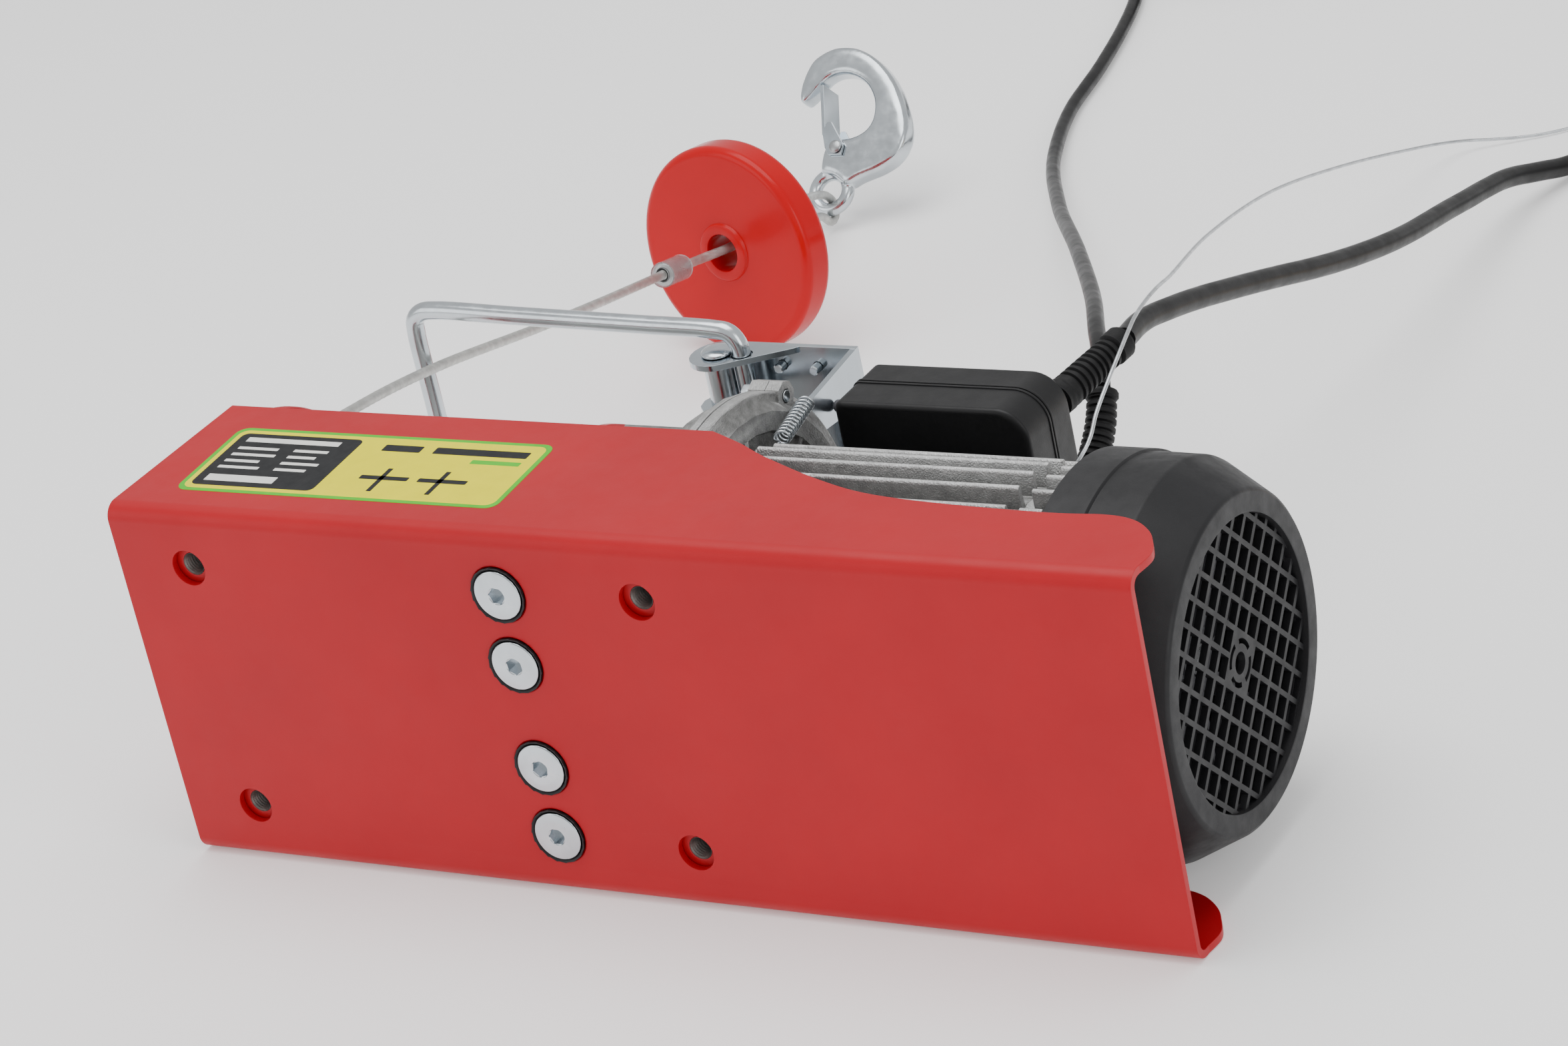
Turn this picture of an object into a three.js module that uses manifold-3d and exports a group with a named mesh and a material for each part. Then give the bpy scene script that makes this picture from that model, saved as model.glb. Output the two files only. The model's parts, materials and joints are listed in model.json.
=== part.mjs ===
// Electric wire rope hoist lying on its side: sheet-steel channel frame, gearbox, finned motor,
// rope drum, limit lever with its rod loop, switch box, two leads, stop weight and safety hook.
// Millimetres, +Z up. X runs along the drum and motor axis, the mounting plate faces -Y.
import * as THREE from 'three';
import { mergeVertices } from 'three/addons/utils/BufferGeometryUtils.js';
import Module from 'manifold-3d';

const wasm = await Module();
wasm.setup();

// ---- driving dimensions (mm) -------------------------------------------------------------
const PLATE_L = 425.2, PLATE_W = 150, SHEET = 3, BEND_R = 6.5;      // channel frame
const FLANGE_D = 85;                                                // deep part of both flanges
const HOLE_X = [32.5, 229.6], HOLE_Z = [23.8, 126.2], HOLE_D = 14.5; // four mounting holes
const SCREW_X = 170.9, SCREW_Z = [25, 53.7, 96.3, 125];             // countersunk clamp screws
const AXIS_Z = PLATE_W / 2;                                         // all shafts lie at mid width
const MOTOR_Y = 76, DRUM_Y = 80, LAY_Y = 123.5, CASE_Y = 104.5;     // motor, drum, layshaft, casing centres
const CASE_R = 72, CASE_SPLIT = 206.5;                              // gearbox rim radius, split plane X
const MOTOR_R = 58, FIN_R = 67, FINS = 36;                          // motor housing
const COVER_R = 72.6, COVER_FACE_R = 60, COVER_X0 = 367, COVER_X1 = 421.5;
const DRUM_R = 69.2, CORE_R = 55.5, ROPE_D = 4.2;
const PIVOT = [151.5, 195], ROD_D = 7.5;                            // limit lever pivot X, Y
const BOX = { x0: 225, x1: 306, y0: 155, ys: 173.5, y1: 190, z0: 23, z1: 127, wall: 2.5 };
const DISC_R = 49, DISC_T = 17;                                     // stop weight
const LEAD_D = 7, PEND_D = 9, WIRE_D = 1.5;                         // cords
const GAP = 0.3;
const ORIGIN = [225.32, 325.25, 0];                                   // centre of the base of the whole part

// ---- helpers -----------------------------------------------------------------------------
const v3 = (x, y, z) => new THREE.Vector3(x, y, z);
const v2 = (x, y) => new THREE.Vector2(x, y);
const D2R = Math.PI / 180;

function clean(geo) {                                   // closed, merged, outward-facing geometry
  const g0 = geo.index ? geo.toNonIndexed() : geo.clone();
  for (const k of Object.keys(g0.attributes)) if (k !== 'position') g0.deleteAttribute(k);
  const g = mergeVertices(g0, 1e-4);
  const p = g.attributes.position, ix = g.index.array, out = [];
  const a = v3(), b = v3(), c = v3();
  let vol = 0;
  for (let i = 0; i < ix.length; i += 3) {
    if (ix[i] === ix[i + 1] || ix[i + 1] === ix[i + 2] || ix[i] === ix[i + 2]) continue;
    out.push(ix[i], ix[i + 1], ix[i + 2]);
    a.fromBufferAttribute(p, ix[i]); b.fromBufferAttribute(p, ix[i + 1]); c.fromBufferAttribute(p, ix[i + 2]);
    vol += a.dot(b.cross(c));
  }
  if (vol < 0) for (let i = 0; i < out.length; i += 3) [out[i + 1], out[i + 2]] = [out[i + 2], out[i + 1]];
  const r = new THREE.BufferGeometry();
  r.setAttribute('position', p.clone());
  r.setIndex(out);
  return r;
}
function toSolid(geo) {
  const g = clean(geo);
  const m = new wasm.Mesh({ numProp: 3, vertProperties: new Float32Array(g.attributes.position.array), triVerts: new Uint32Array(g.index.array) });
  m.merge();
  return new wasm.Manifold(m);
}
function fromSolid(s) {
  const m = s.getMesh(), g = new THREE.BufferGeometry();
  const np = m.numProp, n = m.vertProperties.length / np, pos = new Float32Array(n * 3);
  for (let i = 0; i < n; i++) for (let k = 0; k < 3; k++) pos[3 * i + k] = m.vertProperties[np * i + k];
  g.setAttribute('position', new THREE.BufferAttribute(pos, 3));
  g.setIndex(Array.from(m.triVerts));
  return g;
}
const join = (...gs) => fromSolid(gs.map(toSolid).reduce((a, b) => a.add(b)));
const cut = (g, ...hs) => fromSolid(hs.map(toSolid).reduce((a, b) => a.subtract(b), toSolid(g)));
const meet = (a, b) => fromSolid(toSolid(a).intersect(toSolid(b)));

function box(x0, x1, y0, y1, z0, z1) {
  const g = new THREE.BoxGeometry(x1 - x0, y1 - y0, z1 - z0);
  g.translate((x0 + x1) / 2, (y0 + y1) / 2, (z0 + z1) / 2);
  return g;
}
const circ = (cx, cy, r, n = 16, ph = 0) => Array.from({ length: n }, (_, i) => [cx + r * Math.cos(ph + i * 2 * Math.PI / n), cy + r * Math.sin(ph + i * 2 * Math.PI / n)]);
function arc(cx, cy, r, a0, a1, n) {                    // degrees
  return Array.from({ length: n + 1 }, (_, i) => { const a = (a0 + (a1 - a0) * i / n) * D2R; return [cx + r * Math.cos(a), cy + r * Math.sin(a)]; });
}
function shapeOf(pts, holes = []) {
  const s = new THREE.Shape(pts.map(([x, y]) => v2(x, y)));
  for (const h of holes) s.holes.push(new THREE.Path(h.map(([x, y]) => v2(x, y))));
  return s;
}
const BASIS = {
  XY: new THREE.Matrix4().identity(),
  YZ: new THREE.Matrix4().makeBasis(v3(0, 1, 0), v3(0, 0, 1), v3(1, 0, 0)),
  XZ: new THREE.Matrix4().makeBasis(v3(1, 0, 0), v3(0, 0, 1), v3(0, -1, 0)),
};
function prism(pts, plane, lo, hi, holes = []) {        // outline in a plane, extruded from lo to hi
  const g = new THREE.ExtrudeGeometry(shapeOf(pts, holes), { depth: hi - lo, bevelEnabled: false, steps: 1 });
  g.applyMatrix4(BASIS[plane]);
  if (plane === 'XY') g.translate(0, 0, lo);
  if (plane === 'YZ') g.translate(lo, 0, 0);
  if (plane === 'XZ') g.translate(0, hi, 0);
  return g;
}
function lathe(profile, p, d, seg = 24, spin = 0) {     // profile [[t, r], ...] about direction d from p
  const g = new THREE.LatheGeometry(profile.map(([t, r]) => v2(r, t)), seg);
  if (spin) g.rotateY(spin);
  g.applyQuaternion(new THREE.Quaternion().setFromUnitVectors(v3(0, 1, 0), d.clone().normalize()));
  g.translate(p.x, p.y, p.z);
  return g;
}
const latheX = (profile, y, seg = 32, z = AXIS_Z) => lathe(profile, v3(0, y, z), v3(1, 0, 0), seg);
const ring = prof => [...prof, prof[0]];                // a profile that closes on itself
const cylX = (x0, x1, y, z, r, seg = 20) => lathe([[x0, 0], [x0, r], [x1, r], [x1, 0]], v3(0, y, z), v3(1, 0, 0), seg);
const cylY = (y0, y1, x, z, r, seg = 20) => lathe([[y0, 0], [y0, r], [y1, r], [y1, 0]], v3(x, 0, z), v3(0, 1, 0), seg);
const cylZ = (z0, z1, x, y, r, seg = 20) => lathe([[z0, 0], [z0, r], [z1, r], [z1, 0]], v3(x, y, 0), v3(0, 0, 1), seg);
class Route extends THREE.Curve {                       // stations along a smooth route, closer together in the bends
  constructor(pts, stride, turn) {
    super();
    const c = new THREE.CatmullRomCurve3(pts.map(p => v3(...p)), false, 'centripetal');
    const n = 900, p = c.getSpacedPoints(n), step = c.getLength() / n;
    this.p = [p[0]];
    this.d = [p[1].clone().sub(p[0]).normalize()];
    let run = 0, last = this.d[0];
    for (let i = 1; i < n; i++) {
      run += step;
      const d = p[i + 1].clone().sub(p[i - 1]).normalize();
      if ((run >= stride || d.angleTo(last) > turn * D2R) && (n - i) * step > stride * 0.4) { this.p.push(p[i]); this.d.push(d); last = d; run = 0; }
    }
    this.p.push(p[n]);
    this.d.push(p[n].clone().sub(p[n - 1]).normalize());
    this.n = this.p.length - 1;
  }
  getPoint(t, v = v3()) { return v.copy(this.p[Math.round(t * this.n)]); }
  getPointAt(t, v) { return this.getPoint(t, v); }
  getTangent(t, v = v3()) { return v.copy(this.d[Math.round(t * this.n)]); }
  getTangentAt(t, v) { return this.getTangent(t, v); }
}
function tube(pts, r, sides, stride = 6 * r, turn = 16) {
  const c = new Route(pts, stride, turn);
  return new THREE.ExtrudeGeometry(shapeOf(circ(0, 0, r, sides)), { steps: c.n, bevelEnabled: false, extrudePath: c });
}
function rrect(x0, y0, x1, y1, rs, n = 4) {             // radii: lower left, lower right, upper right, upper left
  return [...arc(x0 + rs[0], y0 + rs[0], rs[0], 180, 270, n), ...arc(x1 - rs[1], y0 + rs[1], rs[1], 270, 360, n),
    ...arc(x1 - rs[2], y1 - rs[2], rs[2], 0, 90, n), ...arc(x0 + rs[3], y1 - rs[3], rs[3], 90, 180, n)];
}

const root = new THREE.Group();
root.position.set(-ORIGIN[0], -ORIGIN[1], -ORIGIN[2]);
function add(name, geo, color, roughness = 0.5, metalness = 0) {
  const g = clean(geo);
  const m = new THREE.Mesh(g, new THREE.MeshStandardMaterial({ color, roughness, metalness }));
  m.name = name;
  root.add(m);
}
const RED = 0xc42a30, BLACK = 0x1c1c1e, ALU = 0x9a9a98, ZINC = 0xc3cad2, STEEL = 0x8e9196, RUBBER = 0x161617, COPPER = 0xb06a3a;

// ---- channel frame -----------------------------------------------------------------------
const W = PLATE_W, T = SHEET, RO = BEND_R, RI = BEND_R - SHEET;
const uProfile = [[FLANGE_D, 0], ...arc(RO, RO, RO, 270, 180, 3), ...arc(RO, W - RO, RO, 180, 90, 3), [FLANGE_D, W],
  [FLANGE_D, W - T], ...arc(RO, W - RO, RI, 90, 180, 3), ...arc(RO, RO, RI, 180, 270, 3), [FLANGE_D, T]];
const curve = new THREE.SplineCurve([[218, 85], [234, 77], [250, 67.6], [279, 53.7], [304, 45.4], [337, 41.6], [377, 40], [398, 41], [409.5, 38.5], [418, 32], [423, 24.4], [426, 17], [425.2, 8]].map(p => v2(...p))).getPoints(20).map(p => [p.x, p.y]);
const outline = [[0, -2], [0, 84], [1, 86], [200, 86], ...curve, [PLATE_L, -2]];
let frame = meet(prism(uProfile, 'YZ', 0, 428), prism(outline, 'XY', -1, W + 1));
const drill = [];
for (const x of HOLE_X) for (const z of HOLE_Z) drill.push(cylY(-1, 4, x, z, HOLE_D / 2, 16));
for (const z of SCREW_Z) drill.push(lathe([[-1, 0], [-1, 12.5], [4, 7.5], [4, 0]], v3(SCREW_X, 0, z), v3(0, 1, 0), 16));
frame = cut(frame, ...drill);
add('frame_channel', frame, RED, 0.4);

// welded nuts behind the four mounting holes
let k = 0;
for (const x of HOLE_X) for (const z of HOLE_Z) {
  k++;
  add(`weld_nut_${k}`, prism(circ(x, z, 10.2, 6, 0.5236), 'XZ', T + GAP, T + GAP + 9, [circ(x, z, 4.6, 16).reverse()]), RED, 0.45, 0.2);
}
// countersunk socket screws holding the gearbox foot
SCREW_Z.forEach((z, i) => {
  const s = lathe([[-1.5, 0], [-1.5, 6.8], [-1.15, 9.2], [-0.6, 9.8], [4.2, 5], [22, 5], [22, 0]], v3(SCREW_X, 0, z), v3(0, 1, 0), 16);
  add(`clamp_screw_${i + 1}`, cut(s, prism(circ(SCREW_X, z, 3.46, 6, 0.3 * i), 'XZ', -3, 3.2)), ZINC, 0.3, 0.9);
});

// ---- gearbox -----------------------------------------------------------------------------
// the drum side of the casting has a slanted flat above and below, with its wall kept at 3 mm
const slope = (d, lo, hi, s) => {
  const n = [0.473, 0.881 * s], t = [0.881, -0.473 * s], q = (a, b) => [CASE_Y + n[0] * a + t[0] * b, AXIS_Z + n[1] * a + t[1] * b];
  return prism([q(d, -60), q(d, 60), q(d + 40, 60), q(d + 40, -60)], 'YZ', lo, hi);
};
const outerBody = cut(latheX([[165, 0], [165, 61], [168.5, 67], [201.5, 67], [202.5, CASE_R], [CASE_SPLIT - 0.15, CASE_R], [CASE_SPLIT - 0.15, 0]], CASE_Y, 32), slope(57.5, 160, 193.5, 1), slope(57.5, 160, 193.5, -1));
const innerBody = cut(latheX([[170, 0], [170, 64], [CASE_SPLIT + 2, 64], [CASE_SPLIT + 2, 0]], CASE_Y, 32), slope(54.5, 160, 196.5, 1), slope(54.5, 160, 196.5, -1));
let housing = cut(outerBody, innerBody);
const cavity = cylX(170, 210, CASE_Y, AXIS_Z, 64, 32);
housing = join(housing, cut(box(162, 200, T + GAP, 62, 14, 136), cavity));
housing = join(housing, cylX(161, 177, DRUM_Y, AXIS_Z, 24, 16), cylX(169, 175.5, LAY_Y, AXIS_Z, 9, 10));
const lugs = [56, 124, 236, 304].map(a => [CASE_Y + 71.6 * Math.cos(a * D2R), AXIS_Z + 71.6 * Math.sin(a * D2R)]);
housing = join(housing, ...lugs.map(([y, z]) => cylX(199, CASE_SPLIT - 0.15, y, z, 6, 8)));
housing = cut(housing, cylX(160, 178, DRUM_Y, AXIS_Z, 20.6, 20), cylX(171, 176, LAY_Y, AXIS_Z, 5.4, 12),
  ...SCREW_Z.map(z => lathe([[2, 0], [2, 9.5], [6.2, 5.4], [24, 5.4], [24, 0]], v3(SCREW_X, 0, z), v3(0, 1, 0), 12)),
  ...lugs.map(([y, z]) => cylX(198, 208, y, z, 2.9, 8)));
add('gearbox_housing', housing, ALU, 0.55, 0.8);

let gcov = latheX([[210, 0], [210, 64], [CASE_SPLIT + 0.15, 64], [CASE_SPLIT + 0.15, CASE_R], [211.5, CASE_R], [211.9, 69.4], [215, 65.8], [215, 58.5], [213, 57.5], [213, 0]], CASE_Y, 32);
const ribs = [];
for (let i = 0; i < 9; i++) {
  const r = box(212.5, 214.8, 18, 58.7, -1.3, 1.3);
  r.rotateX(i * 40 * D2R + 0.1);
  r.translate(0, CASE_Y, AXIS_Z);
  ribs.push(r);
}
gcov = join(gcov, ...ribs, cylX(212, 221.8, MOTOR_Y, AXIS_Z, 20, 20), cylX(203, 210.5, LAY_Y, AXIS_Z, 9, 10), ...lugs.map(([y, z]) => cylX(CASE_SPLIT + 0.15, 212.5, y, z, 6, 8)));
gcov = cut(gcov, cylX(213.6, 223, MOTOR_Y, AXIS_Z, 16, 16), cylX(205, 214, MOTOR_Y, AXIS_Z, 6.7, 12), cylX(202, 209.2, LAY_Y, AXIS_Z, 5.4, 12),
  ...lugs.map(([y, z]) => cylX(205, 214, y, z, 2.9, 8)));
add('gearbox_cover', gcov, ALU, 0.55, 0.8);

[lugs[0], lugs[3]].forEach(([y, z], i) => {             // two of the four casing screws
  const s = lathe([[194.6, 0], [194.6, 3.6], [195, 4], [198.7, 4], [198.7, 2.5], [212.9, 2.5], [212.9, 0]], v3(0, y, z), v3(1, 0, 0), 8);
  add(`casing_screw_${i + 1}`, s, ZINC, 0.3, 0.9);
});

// spur gear outline; the tips stop short of the mating gear's root
function gear(teeth, rp, depth, cy, ph = 0) {
  const pts = [], form = teeth > 20 ? [[-0.5, rp - depth], [0, rp - 0.2]] : [[-0.30, rp - depth], [-0.14, rp - 0.2], [0.14, rp - 0.2], [0.30, rp - depth]];
  for (let i = 0; i < teeth; i++) {
    const a = ph + i * 2 * Math.PI / teeth, s = 2 * Math.PI / teeth;
    for (const [f, r] of form) pts.push([cy + r * Math.cos(a + f * s), AXIS_Z + r * Math.sin(a + f * s)]);
  }
  return pts;
}
add('output_gear', prism(gear(46, 34.5, 2.2, DRUM_Y), 'YZ', 178, 188, [circ(DRUM_Y, AXIS_Z, 10.4, 16).reverse()]), STEEL, 0.4, 0.9);
const layGear = join(cylX(171.5, 208.5, LAY_Y, AXIS_Z, 5, 10), prism(gear(12, 9, 2.0, LAY_Y, 0.26), 'YZ', 176, 190.5), prism(gear(85, 42.5, 1.6, LAY_Y), 'YZ', 192, 199), cylX(189, 193, LAY_Y, AXIS_Z, 8, 10));
add('layshaft_gear', layGear, STEEL, 0.4, 0.9);

// ---- bearings (sealed units) -------------------------------------------------------------
const bearing = (x0, x1, y, ri, ro) => latheX(ring([[x0, ri], [x0, ri + 2], [x0 + 0.6, ri + 2.3], [x0 + 0.6, ro - 2.3], [x0, ro - 2], [x0, ro], [x1, ro], [x1, ri]]), y, 16);
add('bearing_drum', bearing(161.5, 175, DRUM_Y, 10.3, 20), STEEL, 0.25, 0.95);
add('bearing_front', bearing(213.9, 221.6, MOTOR_Y, 6.3, 15.6), STEEL, 0.25, 0.95);
add('bearing_rear', bearing(371, 380, MOTOR_Y, 6.3, 15.6), STEEL, 0.25, 0.95);

// ---- motor -------------------------------------------------------------------------------
function finProfile(rTip, half) {
  const pts = [];
  for (let i = 0; i < FINS; i++) {
    const a = (i + 0.35) * 2 * Math.PI / FINS, tb = half * 1.25 / MOTOR_R, tt = half / rTip;
    for (const [da, r] of [[-tb, MOTOR_R], [-tt, rTip], [tt, rTip], [tb, MOTOR_R]]) pts.push([MOTOR_Y + r * Math.cos(a + da), AXIS_Z + r * Math.sin(a + da)]);
  }
  return pts;
}
const bore = circ(MOTOR_Y, AXIS_Z, 52.2, 24).reverse();
let motor = join(
  prism(finProfile(FIN_R, 1.3), 'YZ', 229, 348, [bore]),
  prism(finProfile(FIN_R - 1, 1.3), 'YZ', 353, 362, [bore]),
  latheX(ring([[226, 52.2], [226, MOTOR_R - 0.4], [374, MOTOR_R - 0.4], [374, 52.2]]), MOTOR_Y, 24),
  latheX(ring([[222.3, 16.5], [222.3, 60], [229.5, 60], [229.5, 52], [226.5, 52], [226.5, 16.5]]), MOTOR_Y, 24),
  ...[55, 125, 235, 305].map(a => cylX(216.9, 231, MOTOR_Y + 60.5 * Math.cos(a * D2R), AXIS_Z + 60.5 * Math.sin(a * D2R), 5.5, 8)));
add('motor_housing', motor, ALU, 0.6, 0.8);
add('stator', latheX(ring([[236, 36], [236, 50], [250, 50], [250, 51.2], [340, 51.2], [340, 50], [354, 50], [354, 36], [340, 36], [340, 34.4], [250, 34.4], [250, 36]]), MOTOR_Y, 20), COPPER, 0.5, 0.5);
const rotor = join(latheX([[200.5, 0], [200.5, 6], [245, 6], [246, 12], [250, 33.6], [340, 33.6], [344, 12], [345, 6], [404, 6], [404, 0]], MOTOR_Y, 16), prism(gear(10, 5, 1.2, MOTOR_Y, 0.31), 'YZ', 190.5, 201));
add('rotor', rotor, STEEL, 0.4, 0.9);
add('rear_end_shield', latheX(ring([[370, 16], [370, 20], [374.3, 20], [374.3, 57.5], [380.5, 57.5], [380.5, 16]]), MOTOR_Y, 24), ALU, 0.5, 0.8);
let fan = latheX(ring([[386, 6.3], [386, 12], [387.5, 12], [387.5, 54], [389, 56], [390, 56], [390, 12], [404, 12], [404, 6.3]]), MOTOR_Y, 20);
for (let i = 0; i < 8; i++) {
  const b = box(389.5, 403, 10, 55, -1, 1);
  b.rotateX(i * 45 * D2R); b.translate(0, MOTOR_Y, AXIS_Z);
  fan = join(fan, b);
}
add('cooling_fan', fan, 0x2a2a2c, 0.6);

// fan cover with its slanted square grille
let cover = latheX([[419.5, 0], [419.5, 52.3], [COVER_X1, 52.3], [COVER_X1, COVER_FACE_R], [420.4, 61.4], [402, 71.5], [384.6, 71.7], [383.6, COVER_R], [COVER_X0, COVER_R], [COVER_X0, 69.9], [400.5, 68.9], [416.8, 59.5], [416.8, 0]], MOTOR_Y, 32);
const holes = [];
const P1 = 9.8, P2 = 8.7, BAR = 2.0;
for (let i = -6; i < 6; i++) for (let j = -7; j < 7; j++) {
  const a = (i + 0.5) * P1, b = (j + 0.5) * P2;
  if (Math.hypot(a, b) > 54.5 || (Math.abs(i + 0.5) < 1 && Math.abs(j + 0.5) < 1)) continue;
  const h = box(414, 422, a - (P1 - BAR) / 2, a + (P1 - BAR) / 2, b - (P2 - BAR) / 2, b + (P2 - BAR) / 2);
  h.rotateX(45 * D2R); h.translate(0, MOTOR_Y, AXIS_Z);
  holes.push(h);
}
let grid = holes.map(toSolid).reduce((a, b) => a.add(b));
grid = grid.intersect(toSolid(cylX(413, 423, MOTOR_Y, AXIS_Z, 51.6, 24)));
cover = fromSolid(toSolid(cover).subtract(grid));
const slots = [];
for (let i = 0; i < 4; i++) slots.push(prism([...arc(MOTOR_Y, AXIS_Z, 8.6, i * 90 + 12, i * 90 + 78, 2), ...arc(MOTOR_Y, AXIS_Z, 6.8, i * 90 + 78, i * 90 + 12, 2)], 'YZ', 415, 421));
cover = cut(cover, cylX(415, 421, MOTOR_Y, AXIS_Z, 4, 10), ...slots);
add('fan_cover', cover, BLACK, 0.45);

// ---- drum --------------------------------------------------------------------------------
add('drum', latheX(ring([[3.5, 10.3], [3.5, 68.2], [5, DRUM_R], [7, DRUM_R], [8.3, 68.2], [8.3, CORE_R], [154, CORE_R], [154, 68.2], [155.5, DRUM_R], [159.5, DRUM_R], [159.5, 51], [8.3, 51], [8.3, 16], [30, 16], [30, 10.3]]), DRUM_Y, 32), RED, 0.4);
add('drum_shaft', latheX([[0.6, 0], [0.6, 13], [1.2, 14], [3.2, 14], [3.2, 10], [188.5, 10], [188.5, 0]], DRUM_Y, 16), STEEL, 0.35, 0.9);
add('rope_winding', latheX(ring([[8.7, CORE_R + GAP], [8.7, 60.4], [153.6, 60.4], [153.6, CORE_R + GAP]]), DRUM_Y, 32), 0xa8a8a4, 0.5, 0.7);

// ---- limit lever -------------------------------------------------------------------------
const [px, py] = PIVOT;
const earOutline = [[140.6, 195], [141.6, 190], [145, 186.2], [150, 184], [158, 180], [172, 172], [198, 172], [198, 174.5], [176, 181], [157.5, 188], [158.3, 195], [156.8, 200], [152, 203.2], [146, 202], [142, 199]];
let ears = join(prism(earOutline, 'XY', 101.5, 104), prism(earOutline, 'XY', 46, 48.5), box(172, 198, 172, 174.5, 47, 103));
ears = cut(ears, cylZ(40, 110, px, py, 4.3, 16));
add('pivot_bracket', ears, ZINC, 0.35, 0.9);
add('pivot_pin', lathe([[21.9, 0], [21.9, 5.4], [22.6, 6.2], [24.7, 6.2], [24.7, 4], [125.3, 4], [125.3, 6.6], [126.8, 6.1], [127.7, 4.2], [127.9, 0]], v3(px, py, 0), v3(0, 0, 1), 16), ZINC, 0.3, 0.95);
add('pivot_spacer', lathe(ring([[104.3, 4.3], [104.3, 6.6], [122.2, 6.6], [122.2, 4.3]]), v3(px, py, 0), v3(0, 0, 1), 16), ZINC, 0.3, 0.95);

const lugOutline = [...arc(px, py, 11.5, 90, 290, 12), [182, 202.3], [183.5, 204], [208.5, 204], [208.5, 206.5]];
let lever = join(prism(lugOutline, 'XY', 122.5, 125), prism(lugOutline, 'XY', 25, 27.5), box(157, 208.5, 204, 206.5, 25, 125),
  prism([[206.5, 125], [171.5, 121.8], [163.5, 121.5], [171.8, 106], [182, 105], [192, 99], [206.5, 95]], 'YZ', 206, 208.5));
lever = cut(lever, cylZ(17, 126, px, py, 4.3, 16), cylZ(17, 126, 162.5, py, 4.5, 14), cylY(203, 208, 174.3, 116.7, 2.3, 10), cylY(203, 208, 190.2, 116.6, 2.3, 10));
add('lever_plate', lever, ZINC, 0.35, 0.9);
const rodPts = [[162.5, 195, 79], [162.5, 195, 100], [162.5, 195, 124], [161.8, 195, 130], [158.6, 195, 134.2], [152, 195, 135.4], [120, 195, 136.3], [60, 195, 137.9], [22, 195, 138.9], [14.5, 195, 138], [10.4, 195, 134.6], [9.2, 195, 128], [9.2, 195, 100],
  [9.2, 195, 50], [9.2, 195, 22], [10.4, 195, 15.4], [14.5, 195, 12], [22, 195, 11.1], [60, 195, 12.1], [120, 195, 13.7], [152, 195, 14.6], [158.6, 195, 15.8], [161.8, 195, 20], [162.5, 195, 26], [162.5, 195, 50], [162.5, 195, 71]];
add('limit_rod', tube(rodPts, ROD_D / 2, 8, 30, 15), ZINC, 0.25, 0.95);
[[174.3, 116.7], [190.2, 116.6]].forEach(([x, z], i) => add(`lever_screw_${i + 1}`,
  lathe([[199.8, 0], [199.8, 1.7], [200.2, 2], [206.8, 2], [206.8, 3.6], [208.8, 3.2], [208.8, 0]], v3(x, 0, z), v3(0, 1, 0), 12), ZINC, 0.3, 0.95));
const S1 = v3(223.2, 119.5, 129.5), S2 = v3(217, 150.4, 129.2);
add('return_spring', lathe([[0, 0], [0, 2.9], [S1.distanceTo(S2), 2.9], [S1.distanceTo(S2), 0]], S1, S2.clone().sub(S1), 12), ZINC, 0.3, 0.95);

// ---- switch box --------------------------------------------------------------------------
const B = BOX, w = B.wall;
const bo = rrect(B.x0, B.z0, B.x1, B.z1, [3, 13, 13, 3]), bi = rrect(B.x0 + w, B.z0 + w, B.x1 - w, B.z1 - w, [1, 10.5, 10.5, 1]);
function bevelPrism(pts, ylo, yhi, bevel, atLow) {      // outline in XZ with one chamfered face
  const n = pts.length, cx = (B.x0 + B.x1) / 2, cz = (B.z0 + B.z1) / 2, hx = (B.x1 - B.x0) / 2, hz = (B.z1 - B.z0) / 2;
  const inner = pts.map(([x, z]) => [cx + (x - cx) * (hx - bevel) / hx, cz + (z - cz) * (hz - bevel) / hz]);
  const layers = atLow ? [[ylo, inner], [ylo + bevel, pts], [yhi, pts]] : [[ylo, pts], [yhi - bevel, pts], [yhi, inner]];
  const base = prism(pts, 'XZ', layers[0][0], layers[2][0]);
  const full = new THREE.ExtrudeGeometry(shapeOf(pts), { depth: yhi - ylo, bevelEnabled: false, steps: 2 });
  const p = full.attributes.position;                   // steps give a middle ring that becomes the chamfer line
  const key = (x, z) => pts.findIndex(q => Math.abs(q[0] - x) < 1e-4 && Math.abs(q[1] - z) < 1e-4);
  for (let i = 0; i < p.count; i++) {
    const t = Math.round(p.getZ(i) / (yhi - ylo) * 2), L = layers[2 - t], q = L[1][key(p.getX(i), p.getY(i))];
    p.setXYZ(i, q[0], L[0], q[1]);
  }
  return full;
}
let base = bevelPrism(bo, B.y0, B.ys - 0.15, 2, true);
base = cut(base, prism(bi, 'XZ', B.y0 + w, B.ys + 1));
base = join(base, box(240, 290, 143.4, B.y0 + 1, 52, 98));
add('switch_box_base', base, BLACK, 0.55);
let lid = bevelPrism(bo, B.ys + 0.15, B.y1, 1.6, false);
lid = cut(lid, prism(bi, 'XZ', B.ys - 1, B.y1 - w), cylX(220, 230, 181, 112, 3, 12));
add('switch_box_lid', lid, BLACK, 0.55);
add('limit_switch', box(244.5, 264, 175.5, 186.5, 101, 123), 0x303236, 0.5);
add('switch_plunger', lathe([[209, 0], [209, 1.6], [210, 2.5], [240, 2.5], [240, 0]], v3(0, 181, 112), v3(1, 0, 0), 12), 0xb9bdc2, 0.4, 0.6);
add('run_capacitor', cylZ(34, 96, 287, 172.6, 13.5, 20), 0xd8d8d4, 0.5);
add('strain_relief_pendant', tube([[299, 191.5, 113], [299.2, 194, 113.1], [300.9, 199, 114], [304, 211, 116], [309, 232, 119]], 6.9, 12, 12), RUBBER, 0.75);
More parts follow.
